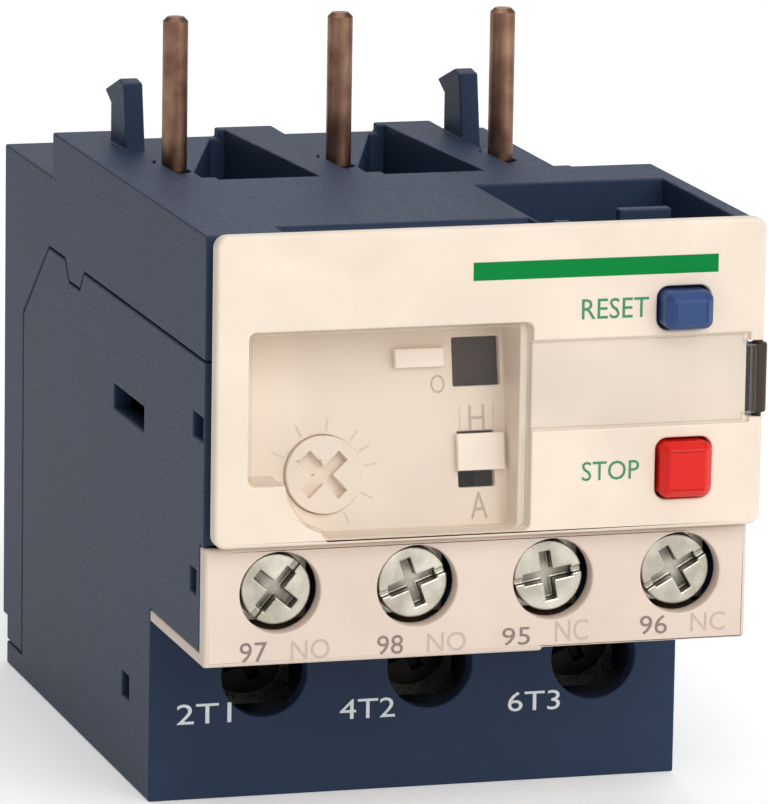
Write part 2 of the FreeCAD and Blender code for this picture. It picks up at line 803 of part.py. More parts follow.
def make_front_cover():
    """Front plate with the sloping panel pan, button holes and the clear cover's rebate."""
    half = "width / 2 - plate_gap"
    plate = front_slab("front_plate", ("-(%s)" % half, "plate_right_x"), ("0", "plate_thickness"),
                       ("plate_bottom", "plate_top"), "plate_corner")
    rounded(plate, "front_plate_edge", "plate_edge",
            lambda edge: edge.BoundBox.YMax < plate.Shape.BoundBox.YMin + 0.01)
    skirt = block("skirt", ("-(%s) + skirt_inset" % half, half + " - skirt_inset"),
                  ("plate_thickness - lap", "plate_thickness + skirt_depth"),
                  ("plate_bottom + lap", "plate_top - skirt_inset"))
    top = "panel_top + panel_skin"
    bottom = "panel_bottom - pan_sill"
    pan = side_prism("pan", [
        ("plate_thickness", bottom),
        ("panel_depth + panel_skin", bottom),
        (PAN_BACK, top),
        ("plate_thickness", top),
    ], "panel_left_x - panel_side_wall", "panel_right_x + 2 * panel_side_wall - panel_left_x")
    ears = [block("hinge_ear_%d" % index, ("lug_x - ear_reach", "lug_x + ear_lip"),
                  ("plate_thickness - lap", "plate_thickness + skirt_depth"), z)
            for index, z in enumerate((("arm_bottom - ear_height", "lug_bottom - slip"),
                                       ("lug_top + slip", "arm_top + ear_height")))]
    blank = fuse("front_cover_blank", [plate, skirt, pan] + ears)
    slope_tool = side_prism("panel_slope", [
        ("-overcut", "panel_bottom"),
        ("panel_depth", "panel_bottom"),
        ("panel_depth + " + PAN_SLOPE + "(panel_top - panel_bottom)", "panel_top"),
        ("-overcut", "panel_top"),
    ], "panel_left_x", "panel_right_x - panel_left_x")
    plan = panel_shape("panel_plan", "panel_right_x", ("-overcut", PAN_BACK))
    hollow = common("panel_hollow", plan, slope_tool)
    wide = "panel_right_x + ledge_width"
    half_reset = ("(reset_width / 2 + button_gap)", "(reset_tall / 2 + button_gap)")
    half_stop = ("(stop_width / 2 + button_gap)", "(stop_tall / 2 + button_gap)")
    hole_corner = "button_corner + button_gap"
    through = ("-overcut", "plate_thickness + skirt_depth + overcut")
    floor = ("-panel_skin - overcut", "overcut")
    tools = [
        hollow,
        panel_shape("rebate", wide, ("-overcut", "rebate_depth")),
        block("arm_rebate", (wide + " - overcut", "arm_end_x"), ("-overcut", "arm_rebate_depth"),
              ("arm_bottom", "arm_top")),
        block("lug_notch", ("lug_x - lug_radius - slip", "width"), through,
              ("lug_bottom - slip", "lug_top + slip")),
        rod_up("hinge_hole", "hinge_pin_radius + fit_gap", "lug_x", "lug_back",
               ("lug_bottom - hinge_pin_length - slip", "lug_top + hinge_pin_length + slip")),
        front_slab("reset_hole", ("reset_x - " + half_reset[0], "reset_x + " + half_reset[0]), through,
                   ("reset_height_z - " + half_reset[1], "reset_height_z + " + half_reset[1]), hole_corner),
        front_slab("stop_hole", ("stop_x - " + half_stop[0], "stop_x + " + half_stop[0]), through,
                   ("stop_height_z - " + half_stop[1], "stop_height_z + " + half_stop[1]), hole_corner),
        panel_rod("dial_hole", "dial_radius + fit_gap", "dial_x", "dial_up", floor),
        panel_block("tab_slot", (TAB_STEM[0] + " - tab_travel - slip", TAB_STEM[1] + " + slip"),
                    (TAB_MIDDLE + " - tab_stem_height / 2 - slip",
                     TAB_MIDDLE + " + tab_stem_height / 2 + slip"), floor),
        panel_block("trip_window", ("window_x", "window_x + window_size"),
                    ("window_up", "window_up + window_size"), floor),
        panel_block("selector_slot", ("selector_x + slot_inset", "selector_x + slot_inset + selector_slot_width"),
                    ("selector_up - selector_travel", "selector_up + selector_height + slot_reveal"), floor),
    ]
    keep("front_cover", cut("front_cover", blank, tools))


def make_terminal_cover():
    """L-shaped cover of the control terminals: driver bores in front, wire entries below."""
    half = "width / 2"
    face = side_prism("terminal_face", [
        ("block_front", "block_bottom"),
        ("base_front", "block_bottom"),
        ("base_front", "block_bottom + block_floor - fit_gap"),
        ("block_front + block_thickness - fit_gap", "block_bottom + block_floor - fit_gap"),
        ("block_front + block_thickness - fit_gap", "block_top - fit_gap"),
        ("block_front", "block_top - fit_gap"),
    ], "-width / 2", "width")
    rounded(face, "terminal_face_edge", "plate_edge",
            lambda edge: edge.BoundBox.YMax < face.Shape.BoundBox.YMin + 0.01)
    tools = [block("block_jog_cut", ("block_jog_x", half + " + overcut"), ("0", "block_jog_depth"),
                   ("0", "block_bottom + block_jog"))]
    for mark, x in SCREW_PLACES.items():
        tools.append(rod_back("driver_bore" + mark, "driver_bore", x,
                              ("block_front - overcut", "block_front + block_thickness + overcut"),
                              "screw_height"))
        tools.append(block("wire_entry" + mark, (x + " - wire_hole_width / 2", x + " + wire_hole_width / 2"),
                           ("wire_hole_front", "wire_hole_front + wire_hole_length"),
                           ("block_bottom - overcut", "block_bottom + block_floor + overcut")))
    keep("terminal_cover", cut("terminal_cover", face, tools))


def make_clear_cover():
    """Hinged clear sheet over the panel with its thin arm, and the dark hinge barrel it clips on."""
    depths = ("fit_gap", "fit_gap + cover_sheet")
    thin = ("fit_gap", "fit_gap + arm_sheet")
    arm_start = "panel_right_x + ledge_width - arm_root"
    beside = ("lug_x - lug_radius - slip", "width")
    deep = ("-overcut", "2 * lug_radius + overcut")
    sheet_part = panel_shape("clear_sheet", "panel_right_x + ledge_width", depths, "cover_gap")
    arm = block("clear_arm", (arm_start, "lug_x"), thin,
                ("arm_bottom + arm_taper", "arm_top - arm_taper"))
    wide_arm = block("clear_wide_arm", (arm_start, "arm_end_x - 3 * cover_gap"), thin,
                     ("arm_bottom + cover_gap", "arm_top - cover_gap"))
    clipped = cut("clear_arm_clipped", arm, [
        block("arm_above_lug", beside, deep, ("lug_top", "plate_top")),
        block("arm_below_lug", beside, deep, ("0", "lug_bottom")),
        rod_up("arm_clip", "lug_radius + fit_gap", "lug_x", "lug_back", ("0", "plate_top")),
    ])
    keep("clear_cover", fuse("clear_cover", [sheet_part, clipped, wide_arm]))
    keep("cover_hinge", fuse("cover_hinge", [
        rod_up("hinge_barrel", "lug_radius", "lug_x", "lug_back", ("lug_bottom", "lug_top")),
        rod_up("hinge_pins", "hinge_pin_radius", "lug_x", "lug_back",
               ("lug_bottom - hinge_pin_length", "lug_top + hinge_pin_length")),
    ]))


def make_button(name, x, z, wide, tall, rise, stem_end):
    """Push button: bevelled head, retaining flange behind the plate, and a round stem."""
    flange_back = "plate_thickness + skirt_depth + slip"
    body = front_slab(name + "_head", ("%s - %s / 2" % (x, wide), "%s + %s / 2" % (x, wide)),
                      ("-" + rise, flange_back), ("%s - %s / 2" % (z, tall), "%s + %s / 2" % (z, tall)),
                      "button_corner")
    doc.recompute()
    bevel = body.newObject("PartDesign::Chamfer", name + "_bevel")
    bevel.Base = (body.Group[-2], front_edges(body.Group[-2].Shape))
    bind(bevel, "Size", "button_bevel")
    lip = "button_lip"
    flange = block(name + "_flange",
                   ("%s - %s / 2 - %s" % (x, wide, lip), "%s + %s / 2 + %s" % (x, wide, lip)),
                   (flange_back, flange_back + " + button_flange"),
                   ("%s - %s / 2 + lap" % (z, tall), "%s + %s / 2 + %s" % (z, tall, lip)))
    stem = rod_back(name + "_stem", "stem_radius", x, (flange_back, stem_end), z)
    return keep(name, fuse(name, [body, flange, stem]))


def helix(name, inner, wire, pitch, turns):
    """Body of rectangular wire wound round its own Z axis."""
    body = doc.addObject("PartDesign::Body", name)
    sketch = sketch_on(body, "XZ_Plane", name + "_section")
    rectangle(sketch, (inner, "%s + %s" % (inner, wire)), ("0", wire))
    doc.recompute()
    coil = body.newObject("PartDesign::AdditiveHelix", name + "_coil")
    coil.Profile = sketch
    coil.ReferenceAxis = (sketch, ["V_Axis"])
    coil.Mode = 1
    bind(coil, "Pitch", pitch)
    bind(coil, "Turns", turns)
    return body


def make_spring(name, x, z, front, end):
    """Compression spring that fills the room between a flange and its guide."""
    length = "((%s) - (%s))" % (end, front)
    pitch = "(%s - spring_wire - 2 * fit_gap) / spring_turns" % length
    spring = helix(name, "spring_inner", "spring_wire", pitch, "spring_turns")
    spring.Placement = FreeCAD.Placement(FreeCAD.Vector(), FreeCAD.Rotation(FreeCAD.Vector(-1, 0, 0), 90))
    place(spring, x, back(front + " + fit_gap"), z)
    keep(name, spring)


def make_buttons():
    flange_end = "plate_thickness + skirt_depth + slip + button_flange"
    make_button("reset_button", "reset_x", "reset_height_z", "reset_width", "reset_tall", "reset_rise",
                "bracket_back + bracket_thickness + reset_travel")
    make_button("stop_button", "stop_x", "stop_height_z", "stop_width", "stop_tall", "stop_rise",
                "carrier_back - slip - stop_travel")
    make_spring("reset_spring", "reset_x", "reset_height_z", flange_end, "bracket_back")
    make_spring("stop_spring", "stop_x", "stop_height_z", flange_end, "guide_back")


def make_panel_controls():
    """Dial with its cam, test tab, H/A selector and the flag behind the trip window."""
    behind = "-panel_skin - slip"
    flange_end = behind + " - dial_flange_thickness"
    face = "dial_rise"
    dial = fuse("dial_blank", [
        panel_rod("dial_face", "dial_radius", "dial_x", "dial_up", (behind, face)),
        panel_rod("dial_flange_disc", "dial_radius + dial_flange", "dial_x", "dial_up", (flange_end, behind)),
    ])
    arrow = "(arrow_turn * 1 deg)"
    sunk = (face + " - cross_depth", face + " + overcut")
    cross = [
        panel_prism("dial_cross", cross_corners("cross_length", "cross_width", "cross_turn"),
                    "dial_x", "dial_up", sunk),
        panel_prism("dial_arrow", [
            turned("arrow_root", "-arrow_width / 2", arrow),
            turned("arrow_tip", "0", arrow),
            turned("arrow_root", "arrow_width / 2", arrow),
        ], "dial_x", "dial_up", sunk),
    ]
    keep("setting_dial", cut("setting_dial", dial, cross))
    keep("dial_cam", fuse("dial_cam", [
        panel_rod("cam_shaft", "cam_radius - cam_offset", "dial_x", "dial_up",
                  (flange_end + " - cam_length - cam_stub", flange_end)),
        panel_rod("cam_disc", "cam_radius", "dial_x - cam_offset", "dial_up",
                  (flange_end + " - cam_length", flange_end + " - cam_space")),
    ]))
    foot = (behind + " - guide_foot", behind)
    half = "tab_stem_height / 2"
    keep("test_lever", fuse("test_lever", [
        panel_block("tab_face", ("tab_x", "tab_x + tab_width"), ("tab_up", "tab_up + tab_height"),
                    ("fit_gap", "tab_rise")),
        panel_block("tab_stem", TAB_STEM, ("%s - %s" % (TAB_MIDDLE, half), "%s + %s" % (TAB_MIDDLE, half)),
                    (behind, "fit_gap")),
        panel_block("tab_foot", (TAB_STEM[0] + " - foot_lip", TAB_STEM[1] + " + foot_lip"),
                    ("%s - %s - foot_lip" % (TAB_MIDDLE, half), "%s + %s + foot_lip" % (TAB_MIDDLE, half)),
                    foot),
    ]))
    left = "selector_x + slot_inset"
    keep("mode_selector", fuse("mode_selector", [
        panel_block("selector_face", ("selector_x", "selector_x + selector_width"),
                    ("selector_up", "selector_up + selector_height"), ("fit_gap", "selector_rise")),
        panel_block("selector_stem", (left + " + slip", left + " + selector_slot_width - slip"),
                    ("selector_up + slip", "selector_up + selector_height - slot_inset - slip"),
                    (behind, "fit_gap")),
        panel_block("selector_foot", (left + " - foot_lip", left + " + selector_slot_width + foot_lip"),
                    ("selector_up + slip", "selector_up + selector_height - slip"), foot),
    ]))
    flag_bottom = "window_up - flag_travel - fit_gap"
    keep("trip_flag", panel_block("trip_flag", ("window_x - flag_lip", "window_x + window_size + flag_lip"),
                                  (flag_bottom, "window_up + window_size + flag_lip"),
                                  (behind + " - flag_thickness", behind)))


def make_control_terminals():
    """Screws, washers and terminal plates with their upright contact fingers."""
    head = "block_front + head_sink"
    washers = []
    for mark, x in SCREW_PLACES.items():
        head_end = head + " + head_thickness"
        washer_end = head_end + " + washer_thickness"
        plate_front = washer_end + " + wire_gap"
        plate_back = plate_front + " + terminal_thickness"
        blank = fuse("control_screw_blank" + mark, [
            rod_back("control_head" + mark, "head_radius", x, (head, head_end), "screw_height"),
            rod_back("control_shank" + mark, "screw_radius", x, (head_end, head_end + " + screw_length"),
                     "screw_height"),
        ])
        turn = "turn" + mark
        recess = [
            facing_prism("control_cross" + mark, cross_corners("recess_length", "recess_width", turn),
                         x, (head + " - overcut", head + " + recess_depth"), "screw_height"),
            facing_prism("control_slot" + mark, bar_corners("2 * (head_radius + overcut)", "slot_width", turn),
                         x, (head + " - overcut", head + " + slot_depth"), "screw_height"),
        ]
        keep("control_screw" + mark, cut("control_screw" + mark, blank, recess))
        washers.append(cut("clamp_washer" + mark, block(
            "washer_plate" + mark, (x + " - washer_size / 2", x + " + washer_size / 2"),
            (head_end + " + fit_gap", washer_end), ("screw_height - head_radius", "screw_height + head_radius")),
            [rod_back("washer_hole" + mark, "screw_radius + fit_gap", x, (head, plate_front), "screw_height")]))
        finger = FINGER_FRONT[mark]
        plate = fuse("terminal_blank" + mark, [
            block("terminal_body" + mark, (x + " - terminal_width / 2", x + " + terminal_width / 2"),
                  (plate_front, plate_back), ("screw_height - head_radius", "cell_ceiling - fit_gap")),
            block("terminal_strap" + mark, (x + " - strap_width / 2", x + " + strap_width / 2"),
                  (plate_front, finger + " + finger_thickness"),
                  ("cell_ceiling - fit_gap - terminal_thickness / 2", "cell_ceiling - fit_gap")),
            block("terminal_finger" + mark, (x + " - strap_width / 2", x + " + strap_width / 2"),
                  (finger, finger + " + finger_thickness"),
                  ("cell_ceiling - fit_gap - terminal_thickness / 2", "finger_top")),
        ])
        keep("terminal_plate" + mark, cut("terminal_plate" + mark, plate, [
            rod_back("terminal_thread" + mark, "screw_radius + fit_gap", x, (head, plate_back + " + overcut"),
                     "screw_height")]))
    group = doc.addObject("Part::Compound", "clamp_washers")
    group.Links = washers
    keep("clamp_washers", group)


def make_power_terminal(pole):
    """Cage clamp, its screw behind the driver hole, and the bar that feeds it."""
    x = power_x(pole)
    mark = "_%d" % (pole + 1)
    cage_back = "cage_front + cage_depth"
    cage = cut("terminal_cage" + mark, block(
        "cage_blank" + mark, (x + " - cage_width / 2", x + " + cage_width / 2"), ("cage_front", cage_back),
        ("cage_bottom", "cage_top")), [
        block("cage_mouth" + mark, (x + " - cage_width / 2 + cage_wall", x + " + cage_width / 2 - cage_wall"),
              ("cage_front + cage_nut", cage_back + " - cage_wall"), ("0", "cage_top + overcut")),
        rod_back("cage_thread" + mark, "power_screw_radius + fit_gap", x,
                 ("cage_front - overcut", "cage_front + cage_nut + overcut"), "power_height")])
    keep("terminal_cage" + mark, cage)
    head_end = "power_head_back + power_head_thickness"
    screw = fuse("power_screw_blank" + mark, [
        rod_back("power_head" + mark, "power_head_radius", x, ("power_head_back", head_end), "power_height"),
        rod_back("power_shank" + mark, "power_screw_radius", x, (head_end, "bar_tab_back - fit_gap"),
                 "power_height")])
    recess = facing_prism("power_cross" + mark, cross_corners("recess_length", "recess_width", "power_turn"),
                          x, ("power_head_back - overcut", "power_head_back + recess_depth"), "power_height")
    keep("power_screw" + mark, cut("power_screw" + mark, screw, [recess]))
    bar_top = "bar_height + bar_thickness"
    keep("load_bar" + mark, fuse("load_bar" + mark, [
        block("bar_run" + mark, (x + " - bar_width / 2", x + " + bar_width / 2"),
              ("bar_tab_back", "strip_back + strip_width / 2 + bar_end"), ("bar_height", bar_top)),
        block("bar_tab" + mark, (x + " - bar_width / 2", x + " + bar_width / 2"),
              ("bar_tab_back", "bar_tab_back + bar_thickness"), ("cage_bottom", bar_top)),
    ]))


def make_heater(pole):
    """Bimetal strip on its bar, in an insulating sleeve wound with heater wire; plug pin above."""
    x = power_x(pole)
    mark = "_%d" % (pole + 1)
    foot = "bar_height + bar_thickness"
    keep("bimetal_strip" + mark, block(
        "bimetal_strip" + mark, (x + " - strip_thickness / 2", x + " + strip_thickness / 2"),
        ("strip_back - strip_width / 2", "strip_back + strip_width / 2"), (foot, "strip_top")))
    coil_top = "coil_bottom + coil_pitch * coil_turns + coil_wire"
    outer = "coil_radius - fit_gap"
    keep("heater_sleeve" + mark, cut("heater_sleeve" + mark, rod_up(
        "sleeve_outside" + mark, outer, x, "strip_back", (foot + " + fit_gap", coil_top + " + sleeve_lip")), [
        rod_up("sleeve_inside" + mark, outer + " - sleeve_wall", x, "strip_back", ("0", "top_height"))]))
    coil = helix("heater_coil" + mark, "coil_radius", "coil_wire", "coil_pitch", "coil_turns")
    place(coil, x, back("strip_back"), "coil_bottom")
    keep("heater_coil" + mark, coil)
    pin_x = pole_x(pole)
    tab_top = "pin_tab_height + pin_tab_thickness"
    shoulder = "top_height - pole_drop + lap"
    lead_x = (x + " - lead_width / 2", x + " + lead_width / 2")
    lead_back = "strip_back - coil_radius - coil_wire - fit_gap"
    pin = fuse("plug_pin_blank" + mark, [
        rod_up("pin_neck" + mark, "pin_neck_radius", pin_x, "pin_back", ("pin_tab_height", shoulder)),
        rod_up("pin_rod" + mark, "pin_radius", pin_x, "pin_back", (shoulder, "pin_top - pin_chamfer")),
        pin_tip("pin_tip" + mark, pin_x),
        block("pin_tab" + mark, (pin_x + " - pin_neck_radius", x + " + lead_width / 2"),
              ("pin_back - pin_neck_radius", "pin_back + 2 * pin_neck_radius"), ("pin_tab_height", tab_top)),
        block("pin_arm" + mark, lead_x, ("pin_back", lead_back), ("pin_tab_height", tab_top)),
        block("pin_lead" + mark, lead_x, (lead_back + " - lead_thickness", lead_back),
              ("coil_bottom + 2 * coil_pitch", tab_top)),
    ])
    keep("plug_pin" + mark, pin)


def pin_tip(name, x):
    """Chamfered tip of a plug pin."""
    tip = doc.addObject("Part::Cone", name)
    bind(tip, "Radius1", "pin_radius")
    bind(tip, "Radius2", "pin_radius - pin_chamfer")
    bind(tip, "Height", "pin_chamfer")
    place(tip, x, back("pin_back"), "pin_top - pin_chamfer")
    return tip


def make_sliders():
    """Two slotted plates that the strips push sideways, and the lever they carry."""
    rows = (("main_slider", "slider_bottom"),
            ("differential_slider", "slider_bottom + slider_thickness + fit_gap"))
    boss_back = "strip_back - slider_width / 2 + boss_inset"
    for name, bottom in rows:
        top = bottom + " + slider_thickness"
        plate = block(name + "_plate", ("-slider_reach", "slider_reach - slider_travel"),
                      ("strip_back - slider_width / 2", "strip_back + slider_width / 2"), (bottom, top))
        slots = [block("%s_slot_%d" % (name, pole),
                       ("%s - strip_thickness / 2 - slider_travel - slip" % power_x(pole),
                        "%s + strip_thickness / 2 + slip" % power_x(pole)),
                       ("strip_back - strip_width / 2 - slip", "strip_back + strip_width / 2 + slip"),
                       ("0", "top_height")) for pole in POLES]
        slots.append(rod_up(name + "_pivot_hole", "pivot_radius + fit_gap", "boss_x", boss_back,
                            ("0", "top_height")))
        keep(name, cut(name, plate, slots))
    lever_top = "slider_bottom - fit_gap"
    lever_z = (lever_top + " - lever_thickness", lever_top)
    nose_front = "pivot_back + trip_reach - nose_width / 2"
    keep("differential_lever", fuse("differential_lever", [
        block("lever_arm", ("boss_x - lever_width / 2", "boss_x + lever_width / 2"),
              (nose_front, boss_back + " + lever_tail"), lever_z),
        block("lever_nose", ("boss_x", "pivot_x - compensator_thickness / 2 - slip"),
              (nose_front, nose_front + " + nose_width"), lever_z),
        rod_up("lever_boss", "pivot_radius", "boss_x", boss_back,
               (lever_top, "slider_bottom + 2 * slider_thickness + 2 * fit_gap")),
    ]))


def make_trip_mechanism():
    """Partition with its guides, bell crank on its pin, and the contact carrier."""
    frame_span = ("-(%s) + slip" % INNER, INNER + " - slip")
    foot = "deck_top + fit_gap"
    partition = block("partition", frame_span, ("frame_back", "frame_back + frame_wall"), (foot, "frame_top"))
    guide = block("button_guide", ("guide_left_x", INNER + " - slip"), ("guide_back", "guide_back + frame_wall"),
                  (foot, "frame_top"))
    web = block("guide_web", (INNER + " - slip - frame_wall", INNER + " - slip"),
                ("guide_back", "frame_back + frame_wall"), (foot, "frame_top"))
    base = block("frame_base", ("pivot_x - base_left", "pivot_x + base_right"),
                 ("pivot_back - hub_radius - lap", "frame_back + lap"), (foot, foot + " + base_thickness"))
    reach_up = "compensator_bottom - slip"
    openings = [
        block("compensator_slot", ("pivot_x - compensator_room", "pivot_x + slider_travel + compensator_room"),
              ("frame_back - overcut", "frame_back + frame_wall + overcut"), (reach_up, "frame_top + overcut")),
        rod_back("stem_hole", "stem_radius + fit_gap", "stop_x",
                 ("guide_back - overcut", "guide_back + frame_wall + overcut"), "stop_height_z"),
        block("carrier_slot", (INNER + " - carrier_slot_width", INNER + " + overcut"),
              ("carrier_back - slip", "carrier_back + carrier_thickness + carrier_travel + slip"),
              ("carrier_bottom - slip", "carrier_top + slip")),
        rod_up("pin_seat", "pivot_radius", "pivot_x", "pivot_back",
               (foot + " - overcut", foot + " + base_thickness + overcut")),
    ]
    keep("mechanism_frame", cut("mechanism_frame", fuse("frame_blank", [partition, guide, web, base]), openings))
    pin_top = "compensator_top + root_depth"
    keep("trip_lever_pin", rod_up("trip_lever_pin", "pivot_radius", "pivot_x", "pivot_back", (foot, pin_top)))
    hub_bottom = foot + " + base_thickness + slip"
    crank_z = ("carrier_bottom + slip", "carrier_top - slip")
    crank = fuse("crank_blank", [
        rod_up("crank_hub", "hub_radius", "pivot_x", "pivot_back", (hub_bottom, "compensator_top - slip")),
        block("crank_arm", ("pivot_x - crank_reach - nose_width / 2", "pivot_x"),
              ("pivot_back - crank_thickness / 2", "pivot_back + crank_thickness / 2"),
              crank_z),
        block("crank_nose", ("pivot_x - crank_reach - nose_width / 2", "pivot_x - crank_reach + nose_width / 2"),
              ("pivot_back", "carrier_back - slip"), crank_z),
    ])
    keep("trip_lever", cut("trip_lever", crank, [
        rod_up("crank_bore", "pivot_radius + fit_gap", "pivot_x", "pivot_back", ("0", "top_height"))]))
    keep("compensation_strip", block(
        "compensation_strip", ("pivot_x - compensator_thickness / 2", "pivot_x + compensator_thickness / 2"),
        ("pivot_back + hub_radius + fit_gap", "pivot_back + trip_reach + nose_width"),
        ("compensator_bottom", "compensator_top")))
    bar_back = "carrier_back + carrier_thickness"
    nc_back = FINGER_FRONT["_95"] + " + finger_thickness + fit_gap"
    keep("contact_carrier", fuse("contact_carrier", [
        block("carrier_bar", ("-(%s) + carrier_inset" % INNER, INNER + " - carrier_inset"), ("carrier_back", bar_back),
              ("carrier_bottom", "carrier_top")),
        block("carrier_post", ("post_right_x - post_width", "post_right_x"), ("carrier_back", nc_back),
              ("carrier_bottom", "carrier_top")),
    ]))
    contact_z = ("(carrier_bottom + carrier_top - bridge_height) / 2",
                 "(carrier_bottom + carrier_top + bridge_height) / 2")
    spans = {"no_bridge": ("_97", "_98", bar_back), "nc_bridge": ("_95", "_96", nc_back)}
    for name, (first, second, start) in spans.items():
        keep(name, block(name, (SCREW_PLACES[first] + " - strap_width / 2", SCREW_PLACES[second]
                                + " + strap_width / 2"), (start, start + " + bridge_thickness"), contact_z))


make_lower_housing()
make_upper_housing()
make_front_cover()
make_terminal_cover()
make_clear_cover()
make_buttons()
make_panel_controls()
make_control_terminals()
for pole in POLES:
    make_power_terminal(pole)
    make_heater(pole)
make_sliders()
make_trip_mechanism()

doc.recompute()
failed = [item.Name for item in doc.Objects if "Invalid" in item.State or "Error" in item.State]
if failed:
    raise RuntimeError("these objects failed: %s" % ", ".join(failed))
for label, item in sub_parts.items():
    if item.Shape.isNull() or not item.Shape.isValid():
        raise RuntimeError("%s has no valid shape" % label)
os.makedirs("parts", exist_ok=True)
for label, item in sub_parts.items():
    item.Shape.exportStep("parts/%s.step" % label)
print("%d sub-parts written" % len(sub_parts))
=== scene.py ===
# %% [markdown]
# # Thermal overload relay
# The relay hangs under a contactor by three copper pins. Its dark body and its pale
# terminal cover are moulded polyamide, its front plate is pale polycarbonate, and the
# controls are small coloured mouldings. The solids come from the construction frame,
# which already has every outline and bore. They could be modelled again here, but then a
# moving piece could drift from its joint, so this notebook dresses them instead: softened
# edges, finishes, printed marks, floor, light and camera.

import json
import math

import bpy
import numpy as np

from mathutils import Matrix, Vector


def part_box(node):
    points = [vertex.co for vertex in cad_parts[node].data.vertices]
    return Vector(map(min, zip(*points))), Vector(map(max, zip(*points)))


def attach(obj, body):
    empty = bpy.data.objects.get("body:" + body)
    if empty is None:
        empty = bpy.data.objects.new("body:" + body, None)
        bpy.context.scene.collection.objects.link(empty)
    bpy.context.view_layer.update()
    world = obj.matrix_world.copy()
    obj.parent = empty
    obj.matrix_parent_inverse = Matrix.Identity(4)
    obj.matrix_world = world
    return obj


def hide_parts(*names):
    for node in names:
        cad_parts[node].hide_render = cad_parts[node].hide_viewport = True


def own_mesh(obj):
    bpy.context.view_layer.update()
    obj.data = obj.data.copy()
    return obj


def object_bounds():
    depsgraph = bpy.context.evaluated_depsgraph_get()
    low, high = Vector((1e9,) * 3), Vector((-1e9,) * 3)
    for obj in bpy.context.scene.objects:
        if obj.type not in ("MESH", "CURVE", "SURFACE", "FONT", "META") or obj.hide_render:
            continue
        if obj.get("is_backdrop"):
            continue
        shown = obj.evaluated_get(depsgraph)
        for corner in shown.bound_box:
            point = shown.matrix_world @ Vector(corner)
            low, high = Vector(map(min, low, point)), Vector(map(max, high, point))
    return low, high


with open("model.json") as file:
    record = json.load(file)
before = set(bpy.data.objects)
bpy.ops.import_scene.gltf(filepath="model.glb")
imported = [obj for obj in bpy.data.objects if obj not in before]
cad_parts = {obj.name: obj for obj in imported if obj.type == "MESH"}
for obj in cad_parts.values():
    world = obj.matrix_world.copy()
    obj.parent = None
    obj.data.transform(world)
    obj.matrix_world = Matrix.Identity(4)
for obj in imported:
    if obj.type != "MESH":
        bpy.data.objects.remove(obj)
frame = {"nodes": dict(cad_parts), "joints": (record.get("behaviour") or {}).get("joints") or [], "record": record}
first_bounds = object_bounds()
MM = 0.001
NODES = frame["nodes"]
JOINTS = {joint["name"]: joint for joint in frame["joints"]}
SUBPARTS = frame["record"]["subparts"]

# %% [markdown]
# ## Colours
# Colours are written as the sRGB hex that a colour card gives. The shader
# works in linear light, so one function does the change for all of them.


# %% Hex to linear
def linear(code):
    """Linear RGBA of a hex colour: v / 12.92 below 0.04045, else ((v + 0.055) / 1.055) ** 2.4."""
    srgb = np.array([int(code[i:i + 2], 16) for i in (0, 2, 4)]) / 255
    rgb = np.where(srgb <= 0.04045, srgb / 12.92, ((srgb + 0.055) / 1.055) ** 2.4)
    return tuple(rgb) + (1.0,)


def shade(code, factor):
    """The same colour with its light scaled by a factor."""
    red, green, blue, alpha = linear(code)
    return (red * factor, green * factor, blue * factor, alpha)


print("mid grey in linear light:", round(linear("808080")[0], 3))


# %% [markdown]
# ## One helper for shader nodes
# A material is a small graph. Adding each node by hand takes four lines, so one
# function adds a node, sets its properties and fills its sockets with numbers or links.


# %% Node helper
def add(tree, kind, settings=None, **sockets):
    """Add a shader node, set its properties, and give its sockets numbers or links.

    An underscore in a socket's name stands for a space.
    """
    item = tree.nodes.new("ShaderNode" + kind)
    for name, value in (settings or {}).items():
        setattr(item, name, value)
    for name, value in sockets.items():
        socket = item.inputs[name.replace("_", " ")]
        if isinstance(value, bpy.types.NodeSocket):
            tree.links.new(value, socket)
        else:
            socket.default_value = value
    return item


def new_material(name):
    """An empty material with its output, and the Object coordinates its patterns read."""
    material = bpy.data.materials.new(name)
    material.use_nodes = True
    tree = material.node_tree
    tree.nodes.clear()
    output = tree.nodes.new("ShaderNodeOutputMaterial")
    place = add(tree, "TexCoord").outputs["Object"]
    return material, tree, output, place


print("node helpers ready")

# %% [markdown]
# ## Moulded plastics
# Moulded housings carry the grain of the spark-eroded steel they were pressed against:
# tiny round pits about a hundredth of a millimetre deep, plus very faint flow marks where
# the melt ran. A photographed texture could show this, but a procedural one keeps its
# real size on every piece. The grain here is drawn two to three times coarser than life,
# because real pits of 0.1 mm are hardly wider than a pixel.

# %% Moulded surface
FLOW_MARK = 9 * MM
FLOW_TONES = (0.93, 1.04)
NOISE_SPAN = (0.3, 0.7)
PLASTIC_GLOSS = (-0.07, 0.08)
PLASTIC_IOR = 1.53


